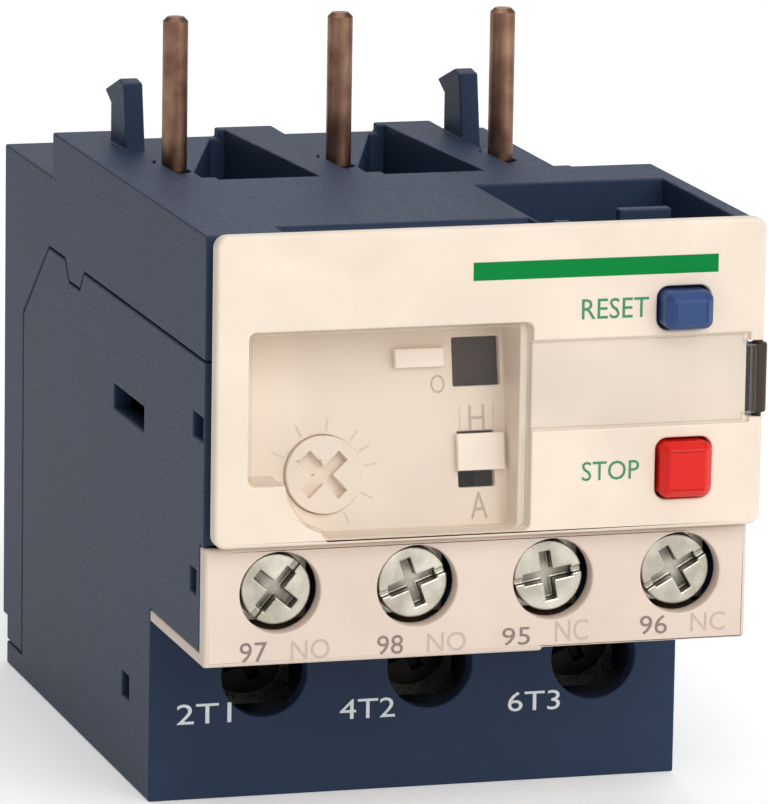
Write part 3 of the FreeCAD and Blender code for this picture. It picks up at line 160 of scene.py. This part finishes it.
def moulded(name, code, grain, depth, roughness, shine=0.4):
    """Opaque moulded plastic: flow marks in its colour, pitted grain in its bump and gloss.

    Noise seldom leaves its middle span, so that span is stretched to the two tones of the
    colour, and to the least and the most rough of the gloss.
    """
    material, tree, output, place = new_material(name)
    flow = add(tree, "TexNoise", Vector=place, Scale=1 / FLOW_MARK, Detail=3.0, Distortion=0.6)
    pits = add(tree, "TexNoise", Vector=place, Scale=1 / grain, Detail=2.0, Roughness=0.6)
    tone = add(tree, "ValToRGB", Fac=flow.outputs["Fac"])
    for stop, position, factor in zip(tone.color_ramp.elements, NOISE_SPAN, FLOW_TONES):
        stop.position = position
        stop.color = shade(code, factor)
    gloss = add(tree, "MapRange", Value=pits.outputs["Fac"],
                From_Min=NOISE_SPAN[0], From_Max=NOISE_SPAN[1],
                To_Min=roughness + PLASTIC_GLOSS[0], To_Max=roughness + PLASTIC_GLOSS[1])
    bump = add(tree, "Bump", Height=pits.outputs["Fac"], Strength=1.0, Distance=depth)
    shader = add(tree, "BsdfPrincipled", Base_Color=tone.outputs["Color"],
                 Roughness=gloss.outputs["Result"], Normal=bump.outputs["Normal"],
                 IOR=PLASTIC_IOR, Specular_IOR_Level=shine)
    tree.links.new(shader.outputs["BSDF"], output.inputs["Surface"])
    return material


print("flow marks are", round(FLOW_MARK / MM, 1), "mm wide")

# %% The plastics
# A row gives a name, a colour, the pits' width and depth, the roughness and maybe the shine.
FINISHES = {
    # Glass-filled polyamide from a spark-eroded tool reads dull and deep, and its grain shows.
    "dark_housing": moulded("polyamide_slate_moulded", "2a3952",
                            0.30 * MM, 0.016 * MM, 0.50, 0.15),
    # Polycarbonate from a finer tool gives the front plate a warm, even, silky light.
    "beige_cover": moulded("polycarbonate_beige_moulded", "efdecc",
                           0.24 * MM, 0.006 * MM, 0.44),
    # ABS from a smooth tool: the reset button's rounded edges catch a clear line of light.
    "blue_button": moulded("abs_blue_moulded", "2c477b",
                           0.20 * MM, 0.004 * MM, 0.33, 0.3),
    # The stop button is the same ABS in signal red.
    "red_button": moulded("abs_red_moulded", "dc180f",
                          0.20 * MM, 0.004 * MM, 0.33, 0.3),
    # Pale polyamide sets the test tab and the selector off as small light blocks.
    "white_control": moulded("polyamide_white_moulded", "fff0e0",
                             0.20 * MM, 0.005 * MM, 0.40),
    # Umber polyamide is almost black in the trip window and browner on the hinge barrel.
    "brown_flag": moulded("polyamide_umber_moulded", "3a2b22",
                          0.20 * MM, 0.006 * MM, 0.45, 0.3),
    # Undyed polyamide is milky and warm, as the sliders and levers inside mostly are.
    "natural_nylon": moulded("polyamide_natural_moulded", "e0d8c4",
                             0.25 * MM, 0.006 * MM, 0.42),
}
PAINTED_SHADE_FINISHES = {
    # The terminal cover is polyamide; its beige is the plate's, made browner and darker as painted shade.
    "terminal_cover": moulded("polyamide_beige_moulded", "e4d1c2",
                              0.24 * MM, 0.006 * MM, 0.44),
}
print(len(FINISHES), "moulded plastics, and a browner beige for the terminal cover")

# %% [markdown]
# ## Clear cover
# The cover over the setting panel is clear polycarbonate, moulded against polished
# steel, so it is glossy and shows what lies below. True refraction would leave the
# panel dark, since light seldom finds its way through a lens in a path tracer. A thin
# see-through skin with a glossy coat lets the light in and still catches reflections.
# Its rounded edges gather light from the whole sheet, so they are less see-through. The
# skin's own grey is a middle one: a white one would lay a haze on the dark flag below.

# %% Clear polycarbonate
CLEAR_GREY = "a8a8a4"
CLEAR_IOR = 1.58
WAVE = 6 * MM
WAVE_DEPTH = 0.02 * MM
WAVE_ROUGHNESS = (0.05, 0.14)
COAT, COAT_ROUGHNESS = 0.3, 0.05


def clear_polycarbonate(name, opacity):
    """Mostly see-through plastic whose faint waviness shows in its gloss."""
    material, tree, output, place = new_material(name)
    wave = add(tree, "TexNoise", Vector=place, Scale=1 / WAVE, Detail=1.0)
    bump = add(tree, "Bump", Height=wave.outputs["Fac"], Strength=1.0, Distance=WAVE_DEPTH)
    haze = add(tree, "MapRange", Value=wave.outputs["Fac"],
               To_Min=WAVE_ROUGHNESS[0], To_Max=WAVE_ROUGHNESS[1])
    shader = add(tree, "BsdfPrincipled", Base_Color=linear(CLEAR_GREY), IOR=CLEAR_IOR,
                 Alpha=opacity, Roughness=haze.outputs["Result"],
                 Coat_Weight=COAT, Coat_Roughness=COAT_ROUGHNESS,
                 Normal=bump.outputs["Normal"])
    tree.links.new(shader.outputs["BSDF"], output.inputs["Surface"])
    return material


# The flat sheet all but vanishes over the panel, and its rounded edge draws a pale outline.
FINISHES["clear_plastic"] = clear_polycarbonate("polycarbonate_clear_moulded", 0.05)
CLEAR_EDGE = clear_polycarbonate("polycarbonate_clear_rounded_edge", 0.25)
print("clear cover ready")

# %% [markdown]
# ## Metals
# The terminal screws are turned steel with a nickel coat, which fills the lathe's marks
# and leaves them bright and slightly warm. The plug pins are drawn copper wire gone brown
# in the air, with scratches along their length. Both are one kind of surface, a coloured
# metal with fine noise. The noise is drawn out along Z on the pins and the bimetal strips
# and left even on the rest, and that is what tells them apart. A metal may also carry
# painted shade: its colour is darkened where its own form shades it, as in the screws' recesses.

# %% Painted shade in hollows
HOLLOW_REACH = 1.2 * MM
HOLLOW_SPAN = (0.4, 0.9)


def hollow_painted_shade(tree, colour, tone):
    """Painted shade: scale a colour down to a tone in hollows, which the piece's own ambient shade finds."""
    shaded = add(tree, "AmbientOcclusion", {"only_local": True}, Distance=HOLLOW_REACH)
    shade_scale = add(tree, "MapRange", Value=shaded.outputs["AO"],
                From_Min=HOLLOW_SPAN[0], From_Max=HOLLOW_SPAN[1], To_Min=tone, To_Max=1.0)
    scaled = add(tree, "VectorMath", {"operation": "SCALE"}, Vector=colour,
                 Scale=shade_scale.outputs["Result"])
    return scaled.outputs["Vector"]


print("a hollow's walls lie within", round(HOLLOW_REACH / MM, 1), "mm")

# %% Worked metal
STAIN = 2.5 * MM
STAIN_SPAN = (0.35, 0.65)
METAL_GLOSS = (-0.08, 0.12)


def worked_metal(name, code, dull, grain, stretch, depth, roughness, hollow=1.0):
    """Metal with stains in two tones, and fine marks stretched the way the tool or die ran."""
    material, tree, output, place = new_material(name)
    along = add(tree, "Mapping", Vector=place, Scale=tuple(1 / factor for factor in stretch))
    lines = add(tree, "TexNoise", Vector=along.outputs["Vector"], Scale=1 / grain,
                Detail=4.0, Roughness=0.65)
    stain = add(tree, "TexNoise", Vector=place, Scale=1 / STAIN, Detail=3.0)
    tone = add(tree, "ValToRGB", Fac=stain.outputs["Fac"])
    for stop, position, tint in zip(tone.color_ramp.elements, STAIN_SPAN, (dull, code)):
        stop.position = position
        stop.color = linear(tint)
    gloss = add(tree, "MapRange", Value=lines.outputs["Fac"],
                From_Min=NOISE_SPAN[0], From_Max=NOISE_SPAN[1],
                To_Min=roughness + METAL_GLOSS[0], To_Max=roughness + METAL_GLOSS[1])
    bump = add(tree, "Bump", Height=lines.outputs["Fac"], Strength=1.0, Distance=depth)
    colour = tone.outputs["Color"]
    # Painted shade: the colour is darkened in the piece's own hollows.
    if hollow < 1.0:
        colour = hollow_painted_shade(tree, colour, hollow)
    shader = add(tree, "BsdfPrincipled", Base_Color=colour, Metallic=1.0,
                 Roughness=gloss.outputs["Result"], Normal=bump.outputs["Normal"])
    tree.links.new(shader.outputs["BSDF"], output.inputs["Surface"])
    return material


print("stains are", round(STAIN / MM, 1), "mm wide")

# %% The metals
EVEN = (1, 1, 1)
ALONG_Z = (1, 1, 12)
# A row gives a name, the bright and the dull colour, the marks' width, stretch and depth,
# the roughness and maybe the tone of the painted shade in hollows.
FINISHES.update({
    # Nickel on turned steel is bright and a little warm, and painted shade darkens it in the cross.
    "nickel_plate": worked_metal("steel_nickel_plated_turned", "d8d3c5", "b0aa9c",
                                 0.22 * MM, EVEN, 0.006 * MM, 0.30, 0.35),
    # Copper wire that has tarnished is brown, with long bright lines where the die rubbed.
    "pin_copper": worked_metal("copper_drawn_tarnished", "a07d69", "7a5a4a",
                               0.16 * MM, ALONG_Z, 0.006 * MM, 0.36),
    # Stamped brass gives the contact plates and load bars a soft yellow shine.
    "contact_brass": worked_metal("brass_stamped", "cdb478", "ad9560",
                                  0.20 * MM, EVEN, 0.004 * MM, 0.34),
    # Rolled bimetal is a plain steel grey with faint lines along the strip.
    "bimetal": worked_metal("bimetal_rolled", "b4b0a6", "97938a",
                            0.20 * MM, ALONG_Z, 0.004 * MM, 0.38),
    # Nickel-chrome that has been hot is a dull, smoky grey.
    "heater_wire": worked_metal("nickel_chrome_ribbon", "9c968c", "6f6a64",
                                0.20 * MM, EVEN, 0.004 * MM, 0.42),
    # Drawn spring steel is smooth and cool in colour.
    "spring_steel": worked_metal("spring_steel_drawn", "b0b0ae", "8c8c8a",
                                 0.15 * MM, EVEN, 0.003 * MM, 0.30),
    # The power screws' near-black colour is painted shade, for the dark at the bottom of their holes.
    "dark_steel": worked_metal("steel_black_oxidised_turned", "2c2a28", "1c1b1a",
                               0.22 * MM, EVEN, 0.005 * MM, 0.42),
    # Silver plate on the two bridges is the whitest of the metals.
    "silver_contact": worked_metal("silver_plated_strip", "d8d8d4", "bcbcb8",
                                   0.20 * MM, EVEN, 0.003 * MM, 0.28),
})
print(len(FINISHES), "finishes with the metals")

# %% [markdown]
# ## Woven sleeve
# Each bimetal strip wears a sleeve woven from glass fibre, which keeps the heater wire
# off it: a dull cream cloth to the eye. It sits deep inside, so two crossed wave patterns
# at thread spacing are enough. A wave texture draws a little over three waves in each
# unit of its coordinates, so its scale is worked out from the width of one wave, which
# is two threads, one over and one under.

# %% Glass-fibre sleeve
THREAD = 0.5 * MM
THREAD_HEIGHT = 0.05 * MM
WAVES_PER_UNIT = 3.14


def woven_glass():
    """Over-and-under threads: two crossed sine bands multiplied into a height."""
    material, tree, output, place = new_material("glass_fibre_woven")
    scale = 1 / (WAVES_PER_UNIT * 2 * THREAD)
    bands = [add(tree, "TexWave", {"bands_direction": way}, Vector=place, Scale=scale)
             for way in ("DIAGONAL", "Z")]
    weave = add(tree, "Math", {"operation": "MULTIPLY"})
    for socket, band in zip(weave.inputs, bands):
        tree.links.new(band.outputs["Fac"], socket)
    bump = add(tree, "Bump", Height=weave.outputs["Value"], Strength=1.0,
               Distance=THREAD_HEIGHT)
    shader = add(tree, "BsdfPrincipled", Base_Color=linear("e4e0d4"), Roughness=0.75,
                 Normal=bump.outputs["Normal"])
    tree.links.new(shader.outputs["BSDF"], output.inputs["Surface"])
    return material


FINISHES["glass_fibre"] = woven_glass()
print("sleeve ready")

# %% [markdown]
# ## Dressing the solids
# A moulded edge is never knife-sharp: the tool's corner leaves a radius of about a tenth
# of a millimetre, and that thin line of light is what makes plastic look real. The
# radius could go into the solids, but a hundred tiny fillets would slow them down. Here
# a weld joins the loose triangles, a bevel rounds only the edges that really turn, and
# weighted normals keep the flats flat. On the two pale covers the triangles of each flat
# face are joined into one first, so that no seam inside a flat shows in its light.

# %% Edges and finishes
EDGE_RADIUS = {
    "upper_housing": 0.16, "lower_housing": 0.16, "front_cover": 0.14, "terminal_cover": 0.16,
    "clear_cover": 0.10, "reset_button": 0.14, "stop_button": 0.14, "setting_dial": 0.04,
    "test_lever": 0.10, "mode_selector": 0.10, "cover_hinge": 0.12,
}
SCREW_EDGE = 0.12
SCREWS = ("control_screw", "power_screw")
WHOLE_FLATS = ("terminal_cover", "front_cover")
WELD_REACH = 0.002 * MM
FLAT_ANGLE = math.radians(0.5)
TURNING_ANGLE = math.radians(32)
EDGE_STEPS = 2
FLAT_WEIGHT = 60


def soften(piece, radius):
    """Weld the faces together, round the turning edges, and keep the flat faces flat."""
    weld = piece.modifiers.new("weld", "WELD")
    weld.merge_threshold = WELD_REACH
    if piece.name in WHOLE_FLATS:
        flats = piece.modifiers.new("whole_flats", "DECIMATE")
        flats.decimate_type = "DISSOLVE"
        flats.angle_limit = FLAT_ANGLE
    bevel = piece.modifiers.new("edge_radius", "BEVEL")
    bevel.width = radius * MM
    bevel.segments = EDGE_STEPS
    bevel.limit_method = "ANGLE"
    bevel.angle_limit = TURNING_ANGLE
    bevel.use_clamp_overlap = False
    bevel.loop_slide = False
    if piece.name == "clear_cover":
        # The rounded faces take the second material in the piece's list.
        piece.data.materials.append(CLEAR_EDGE)
        bevel.material = 1
    normals = piece.modifiers.new("flat_faces", "WEIGHTED_NORMAL")
    normals.weight = FLAT_WEIGHT
    normals.keep_sharp = True


for entry in SUBPARTS:
    piece = NODES[entry["node"]]
    piece.data.materials.clear()
    piece.data.materials.append(PAINTED_SHADE_FINISHES.get(piece.name, FINISHES[entry["material_slot"]]))
    radius = SCREW_EDGE if piece.name.startswith(SCREWS) else EDGE_RADIUS.get(piece.name)
    if radius:
        soften(piece, radius)
print("dressed", len(SUBPARTS), "nodes")

# %% [markdown]
# ## Ink
# The green bar and the words are pad-printed: a soft rubber pad lays down ink about a
# hundredth of a millimetre thick. A texture painted on the cover would do, but ink as
# its own thin piece has a true edge and keeps its place on any renderer. The marks kept
# here are plain words, numbers and lines. To the eye such ink is dull and flat, with
# small paler specks where the pad left the grain dry.

# %% Ink finishes
INK_SPECK = 0.25 * MM
INK_SPAN = (0.28, 0.46)
INK_TONES = (1.18, 1.0)
INK_ROUGHNESS = 0.38
INK_SHINE = 0.1


def ink(name, code):
    """Pad-printed ink: the colour, and paler specks in the lowest part of a fine noise."""
    material, tree, output, place = new_material(name)
    dry = add(tree, "TexNoise", Vector=place, Scale=1 / INK_SPECK, Detail=3.0)
    tone = add(tree, "ValToRGB", Fac=dry.outputs["Fac"])
    for stop, position, factor in zip(tone.color_ramp.elements, INK_SPAN, INK_TONES):
        stop.position = position
        stop.color = shade(code, factor)
    shader = add(tree, "BsdfPrincipled", Base_Color=tone.outputs["Color"],
                 Roughness=INK_ROUGHNESS, Specular_IOR_Level=INK_SHINE)
    tree.links.new(shader.outputs["BSDF"], output.inputs["Surface"])
    return material


INKS = {
    # The bar's green lies thick and full, and the thin words let the plate shine through.
    "green": ink("ink_green_pad_printed", "00803a"),
    "leaf": ink("ink_leaf_pad_printed", "4b9068"),
    # Three warm greys: the terminal numbers, the letters beside them, and the finest lines.
    "grey": ink("ink_grey_pad_printed", "8e7f79"),
    "pale": ink("ink_pale_grey_pad_printed", "cab6aa"),
    "faint": ink("ink_faint_line_pad_printed", "d8ccc0"),
    # White stands out on the dark lower body.
    "white": ink("ink_white_pad_printed", "e8ecf0"),
}
print(len(INKS), "inks")

# %% [markdown]
# ## Places for the marks
# A mark lies on one of four planes: the front plate, the sloping setting panel, the
# terminal cover, or the front of the lower body. Typed heights and depths would be quick,
# but each plane here is an origin, a way right, a way up and a way out taken from the
# frame, so the marks follow the solids. The panel leans as the dial's axis does, and the
# lower body's front lies where the terminal cover ends at the back.

# %% Printing planes
RIGHT = np.array([1.0, 0.0, 0.0])
UP = np.array([0.0, 0.0, 1.0])
FORWARD = np.array([0.0, -1.0, 0.0])
plate_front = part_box("front_cover")[0].y
block_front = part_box("terminal_cover")[0].y
base_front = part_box("terminal_cover")[1].y
panel_out = np.array(JOINTS["dial_turn"]["axis"])
panel_up = np.array([0.0, panel_out[2], -panel_out[1]])
dial_centre = np.array(JOINTS["dial_turn"]["pos_m"])
PLANES = {
    "plate": (np.array([0.0, plate_front, 0.0]), RIGHT, UP, FORWARD),
    "block": (np.array([0.0, block_front, 0.0]), RIGHT, UP, FORWARD),
    "base": (np.array([0.0, base_front, 0.0]), RIGHT, UP, FORWARD),
    "panel": (np.array([0.0, dial_centre[1], dial_centre[2]]), RIGHT, panel_up, panel_out),
}
print("panel leans back", round(math.degrees(math.asin(panel_out[2])), 1), "degrees")

# %% [markdown]
# ## Bars and words
# A printed bar is a thin box, and a printed word is Blender's own type made a mesh and
# stretched to the room that the real word fills. The film is drawn thicker than life, so
# that it stands clear of the face, and it reaches as far into the face as it stands out,
# so that no gap opens under it.

# %% Pieces on a plane
def on_plane(plane, points):
    """Places flat points: origin + across * right + along * up + lift * outwards, in metres."""
    origin, right, up, out = PLANES[plane]
    across, along, lift = points.T[:, :, None]
    return origin + across * right + along * up + lift * out


def new_piece(name, points, faces, material, body="housing"):
    """Turn an array of points and faces into a piece that rides on a body."""
    mesh = bpy.data.meshes.new(name)
    mesh.from_pydata(points, [], faces)
    mesh.validate()
    mesh.materials.append(material)
    piece = bpy.data.objects.new(name, mesh)
    bpy.context.scene.collection.objects.link(piece)
    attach(piece, body)
    return piece


print(len(PLANES), "planes to print on")

# %% Printed bars
INK_FILM = 0.03 * MM
BOX_FACES = np.array([(3, 2, 1, 0), (4, 5, 6, 7), (0, 1, 5, 4),
                      (1, 2, 6, 5), (2, 3, 7, 6), (3, 0, 4, 7)])
BOX_CORNERS = 8


def bars(name, plane, rows, colour):
    """Printed bars, in rows of across, along, length and width in mm and a turn in degrees.

    A corner is centre + i * length * (cos, sin) + j * width * (-sin, cos), where i and j
    are minus or plus a half, once at the bottom and once at the top of the film.
    """
    rows = np.array(rows, float)[:, None]
    centre, length, width = rows[..., :2] * MM, rows[..., 2:3] * MM, rows[..., 3:4] * MM
    turn = np.radians(rows[..., 4:])
    way = np.concatenate([np.cos(turn), np.sin(turn)], 2)
    side = np.concatenate([-np.sin(turn), np.cos(turn)], 2)
    halves = np.array([(-1, -1), (1, -1), (1, 1), (-1, 1)]) / 2
    flat = centre + halves[:, :1] * length * way + halves[:, 1:] * width * side
    lift = np.full_like(flat[..., :1], INK_FILM)
    low = np.concatenate([flat, -lift], 2)
    high = np.concatenate([flat, lift], 2)
    points = on_plane(plane, np.concatenate([low, high], 1).reshape(-1, 3))
    first = np.arange(len(rows))[:, None, None] * BOX_CORNERS
    return new_piece(name, points, (first + BOX_FACES).reshape(-1, 4).tolist(), INKS[colour])


print("the ink stands", round(INK_FILM / MM, 2), "mm proud")

# %% Printed words
TYPE_DEPTH = 0.5
TYPE_STEPS = 3


def words(name, text, plane, across, along, colour):
    """Printed text, stretched so that its box fills two ranges of the plane, in mm.

    A point that lies at a share s of the type's own box goes to start + s * (end - start).
    """
    curve = bpy.data.curves.new(name + "_type", "FONT")
    curve.body = text
    curve.extrude = TYPE_DEPTH
    curve.resolution_u = TYPE_STEPS
    setting = bpy.data.objects.new(name + "_type", curve)
    bpy.context.scene.collection.objects.link(setting)
    graph = bpy.context.evaluated_depsgraph_get()
    mesh = bpy.data.meshes.new_from_object(setting.evaluated_get(graph))
    points = np.empty(len(mesh.vertices) * 3)
    mesh.vertices.foreach_get("co", points)
    points = points.reshape(-1, 3)
    faces = [tuple(face.vertices) for face in mesh.polygons]
    bpy.data.objects.remove(setting)
    low, high = points.min(0), points.max(0)
    share = (points - low) / (high - low)
    flat = np.stack([
        (across[0] + share[:, 0] * (across[1] - across[0])) * MM,
        (along[0] + share[:, 1] * (along[1] - along[0])) * MM,
        (share[:, 2] * 2 - 1) * INK_FILM,
    ], 1)
    return new_piece(name, on_plane(plane, flat), faces, INKS[colour])


print("type curves have", TYPE_STEPS, "steps")

# %% [markdown]
# ## Return springs
# Each button stands on a coil spring that shortens as the button goes in. The solid of a
# spring can't shorten, and here a wound wire takes its place: a round section swept along a
# helix. Its size is read from the solid's own box.

# %% Springs
SPRING_TURNS = 5
WIRE_RADIUS = 0.2 * MM
AROUND, STEPS_PER_TURN = 12, 48


def spring(node):
    """Round wire on a helix: x, z = R (cos t, sin t) and y = start + length t / (2 pi turns).

    A point of the section leaves the middle by r cos p outwards and r sin p along y.
    """
    low, high = (np.array(corner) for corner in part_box(node))
    middle = (low + high) / 2
    reach = (high[0] - low[0]) / 2 - WIRE_RADIUS
    start, end = low[1] + WIRE_RADIUS, high[1] - WIRE_RADIUS
    t = np.linspace(0, 2 * np.pi * SPRING_TURNS, SPRING_TURNS * STEPS_PER_TURN + 1)[:, None]
    p = np.linspace(0, 2 * np.pi, AROUND, endpoint=False)[None, :]
    radius = reach + WIRE_RADIUS * np.cos(p)
    along = start + (end - start) * t / t[-1] + WIRE_RADIUS * np.sin(p)
    points = np.stack([middle[0] + radius * np.cos(t), along, middle[2] + radius * np.sin(t)], 2)
    ring = np.arange(AROUND)
    after = (ring + 1) % AROUND
    rows = np.arange(len(t) - 1)[:, None] * AROUND
    beyond = rows + AROUND
    quads = np.stack([rows + ring, rows + after, beyond + after, beyond + ring], 2).reshape(-1, 4)
    last = (len(t) - 1) * AROUND
    faces = quads.tolist() + [ring[::-1].tolist(), (last + ring).tolist()]
    piece = new_piece(node + "_wire", points.reshape(-1, 3), faces, FINISHES["spring_steel"])
    piece.data.shade_smooth()
    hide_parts(node)
    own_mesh(piece)


spring("reset_spring")
spring("stop_spring")
print("two springs wound")

# %% [markdown]
# ## Marks on the front
# The plate has one green bar and the names of its two buttons. Each word stands just left
# of its button, one above the clear cover's arm and one below it, so the moving cover
# never lies over them. All places are millimetres on the plate.

# %% Front marks
bars("green_bar", "plate", [(8.7, 46.52, 20.3, 1.45, 0)], "green")
words("reset_word", "RESET", "plate", (7.55, 13.1), (42.35, 44.0), "leaf")
words("stop_word", "STOP", "plate", (7.83, 12.6), (29.3, 30.85), "leaf")
print("front marks printed")

# %% [markdown]
# ## Marks on the setting panel
# A dial needs a scale: short strokes round it like rays, worked out from their angles so
# that they keep to the dial's centre. The selector has a letter at either end of its
# way, the upper one between two hairlines, and an O stands below the test tab.

# %% Panel marks
DIAL_X = dial_centre[0] / MM
TICK_INNER, TICK_OUTER, TICK_WIDTH = 3.45, 4.5, 0.16
TICK_ANGLES = np.array([155, 118, 83, 48, 29, 9, -27, -62])
tick_middle = (TICK_INNER + TICK_OUTER) / 2
ticks = np.stack([
    DIAL_X + tick_middle * np.cos(np.radians(TICK_ANGLES)),
    tick_middle * np.sin(np.radians(TICK_ANGLES)),
    np.full(len(TICK_ANGLES), TICK_OUTER - TICK_INNER),
    np.full(len(TICK_ANGLES), TICK_WIDTH),
    TICK_ANGLES,
], 1)
bars("dial_scale", "panel", ticks, "faint")
words("letter_o", "O", "panel", (-3.28, -2.09), (6.0, 7.5), "pale")
words("letter_h", "H", "panel", (-0.22, 1.12), (2.94, 4.98), "pale")
words("letter_a", "A", "panel", (-0.29, 1.13), (-4.06, -1.93), "pale")
hairlines = [(-0.95, 3.9, 2.1, 0.1, 90), (1.85, 3.9, 2.1, 0.1, 90)]
bars("selector_bracket", "panel", hairlines, "faint")
print(len(ticks), "strokes and three letters on the panel")

# %% [markdown]
# ## Marks at the terminals
# Control terminals carry their standard numbers and the kind of their contact, and the
# power terminals below carry theirs in white on the dark body. Each mark is a row of a
# table, because the real ones sit a little uneven and no grid would place them all.

# %% Terminal marks
for name, text, across, along, colour in (
    ("mark_97_10", "97", (-19.6, -17.35), (15.5, 17.1), "grey"),
    ("mark_no_15", "NO", (-15.4, -12.2), (15.5, 17.1), "pale"),
    ("mark_98_22", "98", (-8.3, -6.16), (15.55, 17.1), "grey"),
    ("mark_no_26", "NO", (-4.17, -0.93), (15.55, 17.1), "pale"),
    ("mark_95_32", "95", (2.06, 4.40), (15.75, 17.2), "grey"),
    ("mark_nc_36", "NC", (6.49, 9.25), (15.85, 17.6), "pale"),
    ("mark_96_44", "96", (13.6, 15.9), (16.05, 17.6), "grey"),
    ("mark_nc_48", "NC", (17.9, 20.8), (16.1, 17.65), "pale"),
):
    words(name, text, "block", across, along, colour)
for name, text, across, along in (
    ("mark_2t1", "2T1", (-20.2, -15.6), (6.35, 8.03)),
    ("mark_4t2", "4T2", (-6.4, -1.7), (6.05, 7.7)),
    ("mark_6t3", "6T3", (8.0, 12.5), (5.9, 7.55)),
):
    words(name, text, "base", across, along, "white")
print("terminal marks printed")

# %% [markdown]
# ## Floor
# The relay stands on matt white paper, which runs on behind it and is the whole
# background. It is dull and even to the eye, with a fibre only a close look finds. More
# light would burn out the pale cover, so the floor glows a little instead, and only where
# the camera, a reflection or a see-through piece looks at it: the relay's own colours get
# no light from the glow, and the floor keeps its shadow.

# %% Paper
FLOOR_LIFT = 0.26
FIBRE = 1.2 * MM
material, tree, output, place = new_material("paper_matt_white")
fibre = add(tree, "TexNoise", Vector=place, Scale=1 / FIBRE, Detail=2.0)
tint = add(tree, "ValToRGB", Fac=fibre.outputs["Fac"])
for stop, code in zip(tint.color_ramp.elements, ("f4f4f4", "fafafa")):
    stop.color = linear(code)
path = add(tree, "LightPath")
seen = path.outputs["Is Camera Ray"]
for ray in ("Is Glossy Ray", "Is Transmission Ray"):
    either = add(tree, "Math", {"operation": "MAXIMUM"})
    tree.links.new(seen, either.inputs[0])
    tree.links.new(path.outputs[ray], either.inputs[1])
    seen = either.outputs["Value"]
lift = add(tree, "MapRange", Value=seen, To_Min=0.0, To_Max=FLOOR_LIFT)
shader = add(tree, "BsdfPrincipled", Base_Color=tint.outputs["Color"], Roughness=0.9,
             Emission_Color=linear("ffffff"), Emission_Strength=lift.outputs["Result"])
tree.links.new(shader.outputs["BSDF"], output.inputs["Surface"])
print("the paper glows by", FLOOR_LIFT)

# %% Floor
FLOOR_HALF = 6.0
FLOOR_GAP = 0.02 * MM
low = first_bounds[0][2] - FLOOR_GAP
corners = [(x * FLOOR_HALF, y * FLOOR_HALF, low) for x, y in ((-1, -1), (1, -1), (1, 1), (-1, 1))]
floor_mesh = bpy.data.meshes.new("floor")
floor_mesh.from_pydata(corners, [], [(0, 1, 2, 3)])
floor_mesh.materials.append(material)
floor = bpy.data.objects.new("floor", floor_mesh)
bpy.context.scene.collection.objects.link(floor)
floor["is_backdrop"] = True
print("floor at", round(low / MM, 2), "mm")

# %% [markdown]
# ## Light
# A product picture is lit by large soft boxes, so that no shadow has a hard edge. One
# lamp would leave the dark side black, so a key lamp in front, a fill lamp at the right,
# a top lamp and a weaker rear one share the work, and an even sky fills what is left.
# Each row is a name, a place in metres, a width in metres and a power in watts. A lamp
# looks down its own -Z: the first turn tips it off straight down, the last swings it round.

# %% Lamps and world
LAMPS = (
    ("key_light", (0.02, -0.86, 0.60), 0.7, 4.5),
    ("fill_light", (0.55, -0.70, 0.35), 0.8, 3.0),
    ("top_light", (0.0, 0.15, 0.9), 0.8, 2.8),
    ("rear_light", (0.2, 0.8, 0.6), 0.8, 1.7),
)
LAMP_AIM = (0.0, 0.0, 0.03)
SKY_STRENGTH = 0.27
for name, place, size, watts in LAMPS:
    lamp = bpy.data.lights.new(name, "AREA")
    lamp.size = size
    lamp.energy = watts
    holder = bpy.data.objects.new(name, lamp)
    toward = np.array(LAMP_AIM) - np.array(place)
    toward = toward / np.linalg.norm(toward)
    holder.rotation_euler = (math.acos(-toward[2]), 0.0, math.atan2(-toward[0], toward[1]))
    holder.location = place
    bpy.context.scene.collection.objects.link(holder)
world = bpy.data.worlds.new("studio")
world.use_nodes = True
bpy.context.scene.world = world
sky = world.node_tree.nodes["Background"]
sky.inputs["Color"].default_value = linear("ffffff")
sky.inputs["Strength"].default_value = SKY_STRENGTH
print(len(LAMPS), "lamps and an even sky")

# %% [markdown]
# ## Camera
# The camera stands where the photograph's must have stood, as the fit of the relay's
# corners gives it: about 0.6 m off, to the left and above, with a long lens, turned
# slightly about its own line of sight. A camera set by eye would hardly bring edges and
# marks to their places. The picture is higher than wide, so the sensor spans its height.

# %% Camera
CAMERA_PLACE = np.array([-165.33, -562.51, 148.61]) * MM
CAMERA_TARGET = np.array([0.28, -4.0, 30.04]) * MM
CAMERA_ROLL = math.radians(0.90)
FOCAL_PIXELS = 7172.6
PICTURE_HEIGHT = 804
SENSOR = 36.0
FARTHEST = 20.0
backward = CAMERA_PLACE - CAMERA_TARGET
backward = backward / np.linalg.norm(backward)
level = np.cross(-backward, UP)
level = level / np.linalg.norm(level)
above = np.cross(level, -backward)
sideways = level * math.cos(CAMERA_ROLL) + above * math.sin(CAMERA_ROLL)
upward = above * math.cos(CAMERA_ROLL) - level * math.sin(CAMERA_ROLL)
camera_data = bpy.data.cameras.new("camera")
camera_data.sensor_width = SENSOR
camera_data.lens = FOCAL_PIXELS / PICTURE_HEIGHT * SENSOR
camera_data.clip_end = FARTHEST
camera = bpy.data.objects.new("camera", camera_data)
matrix = np.eye(4)
matrix[:3] = np.stack([sideways, upward, backward, CAMERA_PLACE], 1)
camera.matrix_world = Matrix(matrix.tolist())
bpy.context.scene.collection.objects.link(camera)
bpy.context.scene.camera = camera
bpy.context.scene.view_settings.view_transform = "Standard"
print("lens", round(camera_data.lens, 1), "mm")

# %% [markdown]
# ## Finish
# The dressing must not make the relay bigger than its solids. The box was measured before
# the first change and is measured again now, and the dressed size is printed.

# %% Finish
last_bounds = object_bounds()
sizes = [round((high - low) / MM, 1) for low, high in zip(*last_bounds)]
print("the dressed relay measures", sizes, "mm")
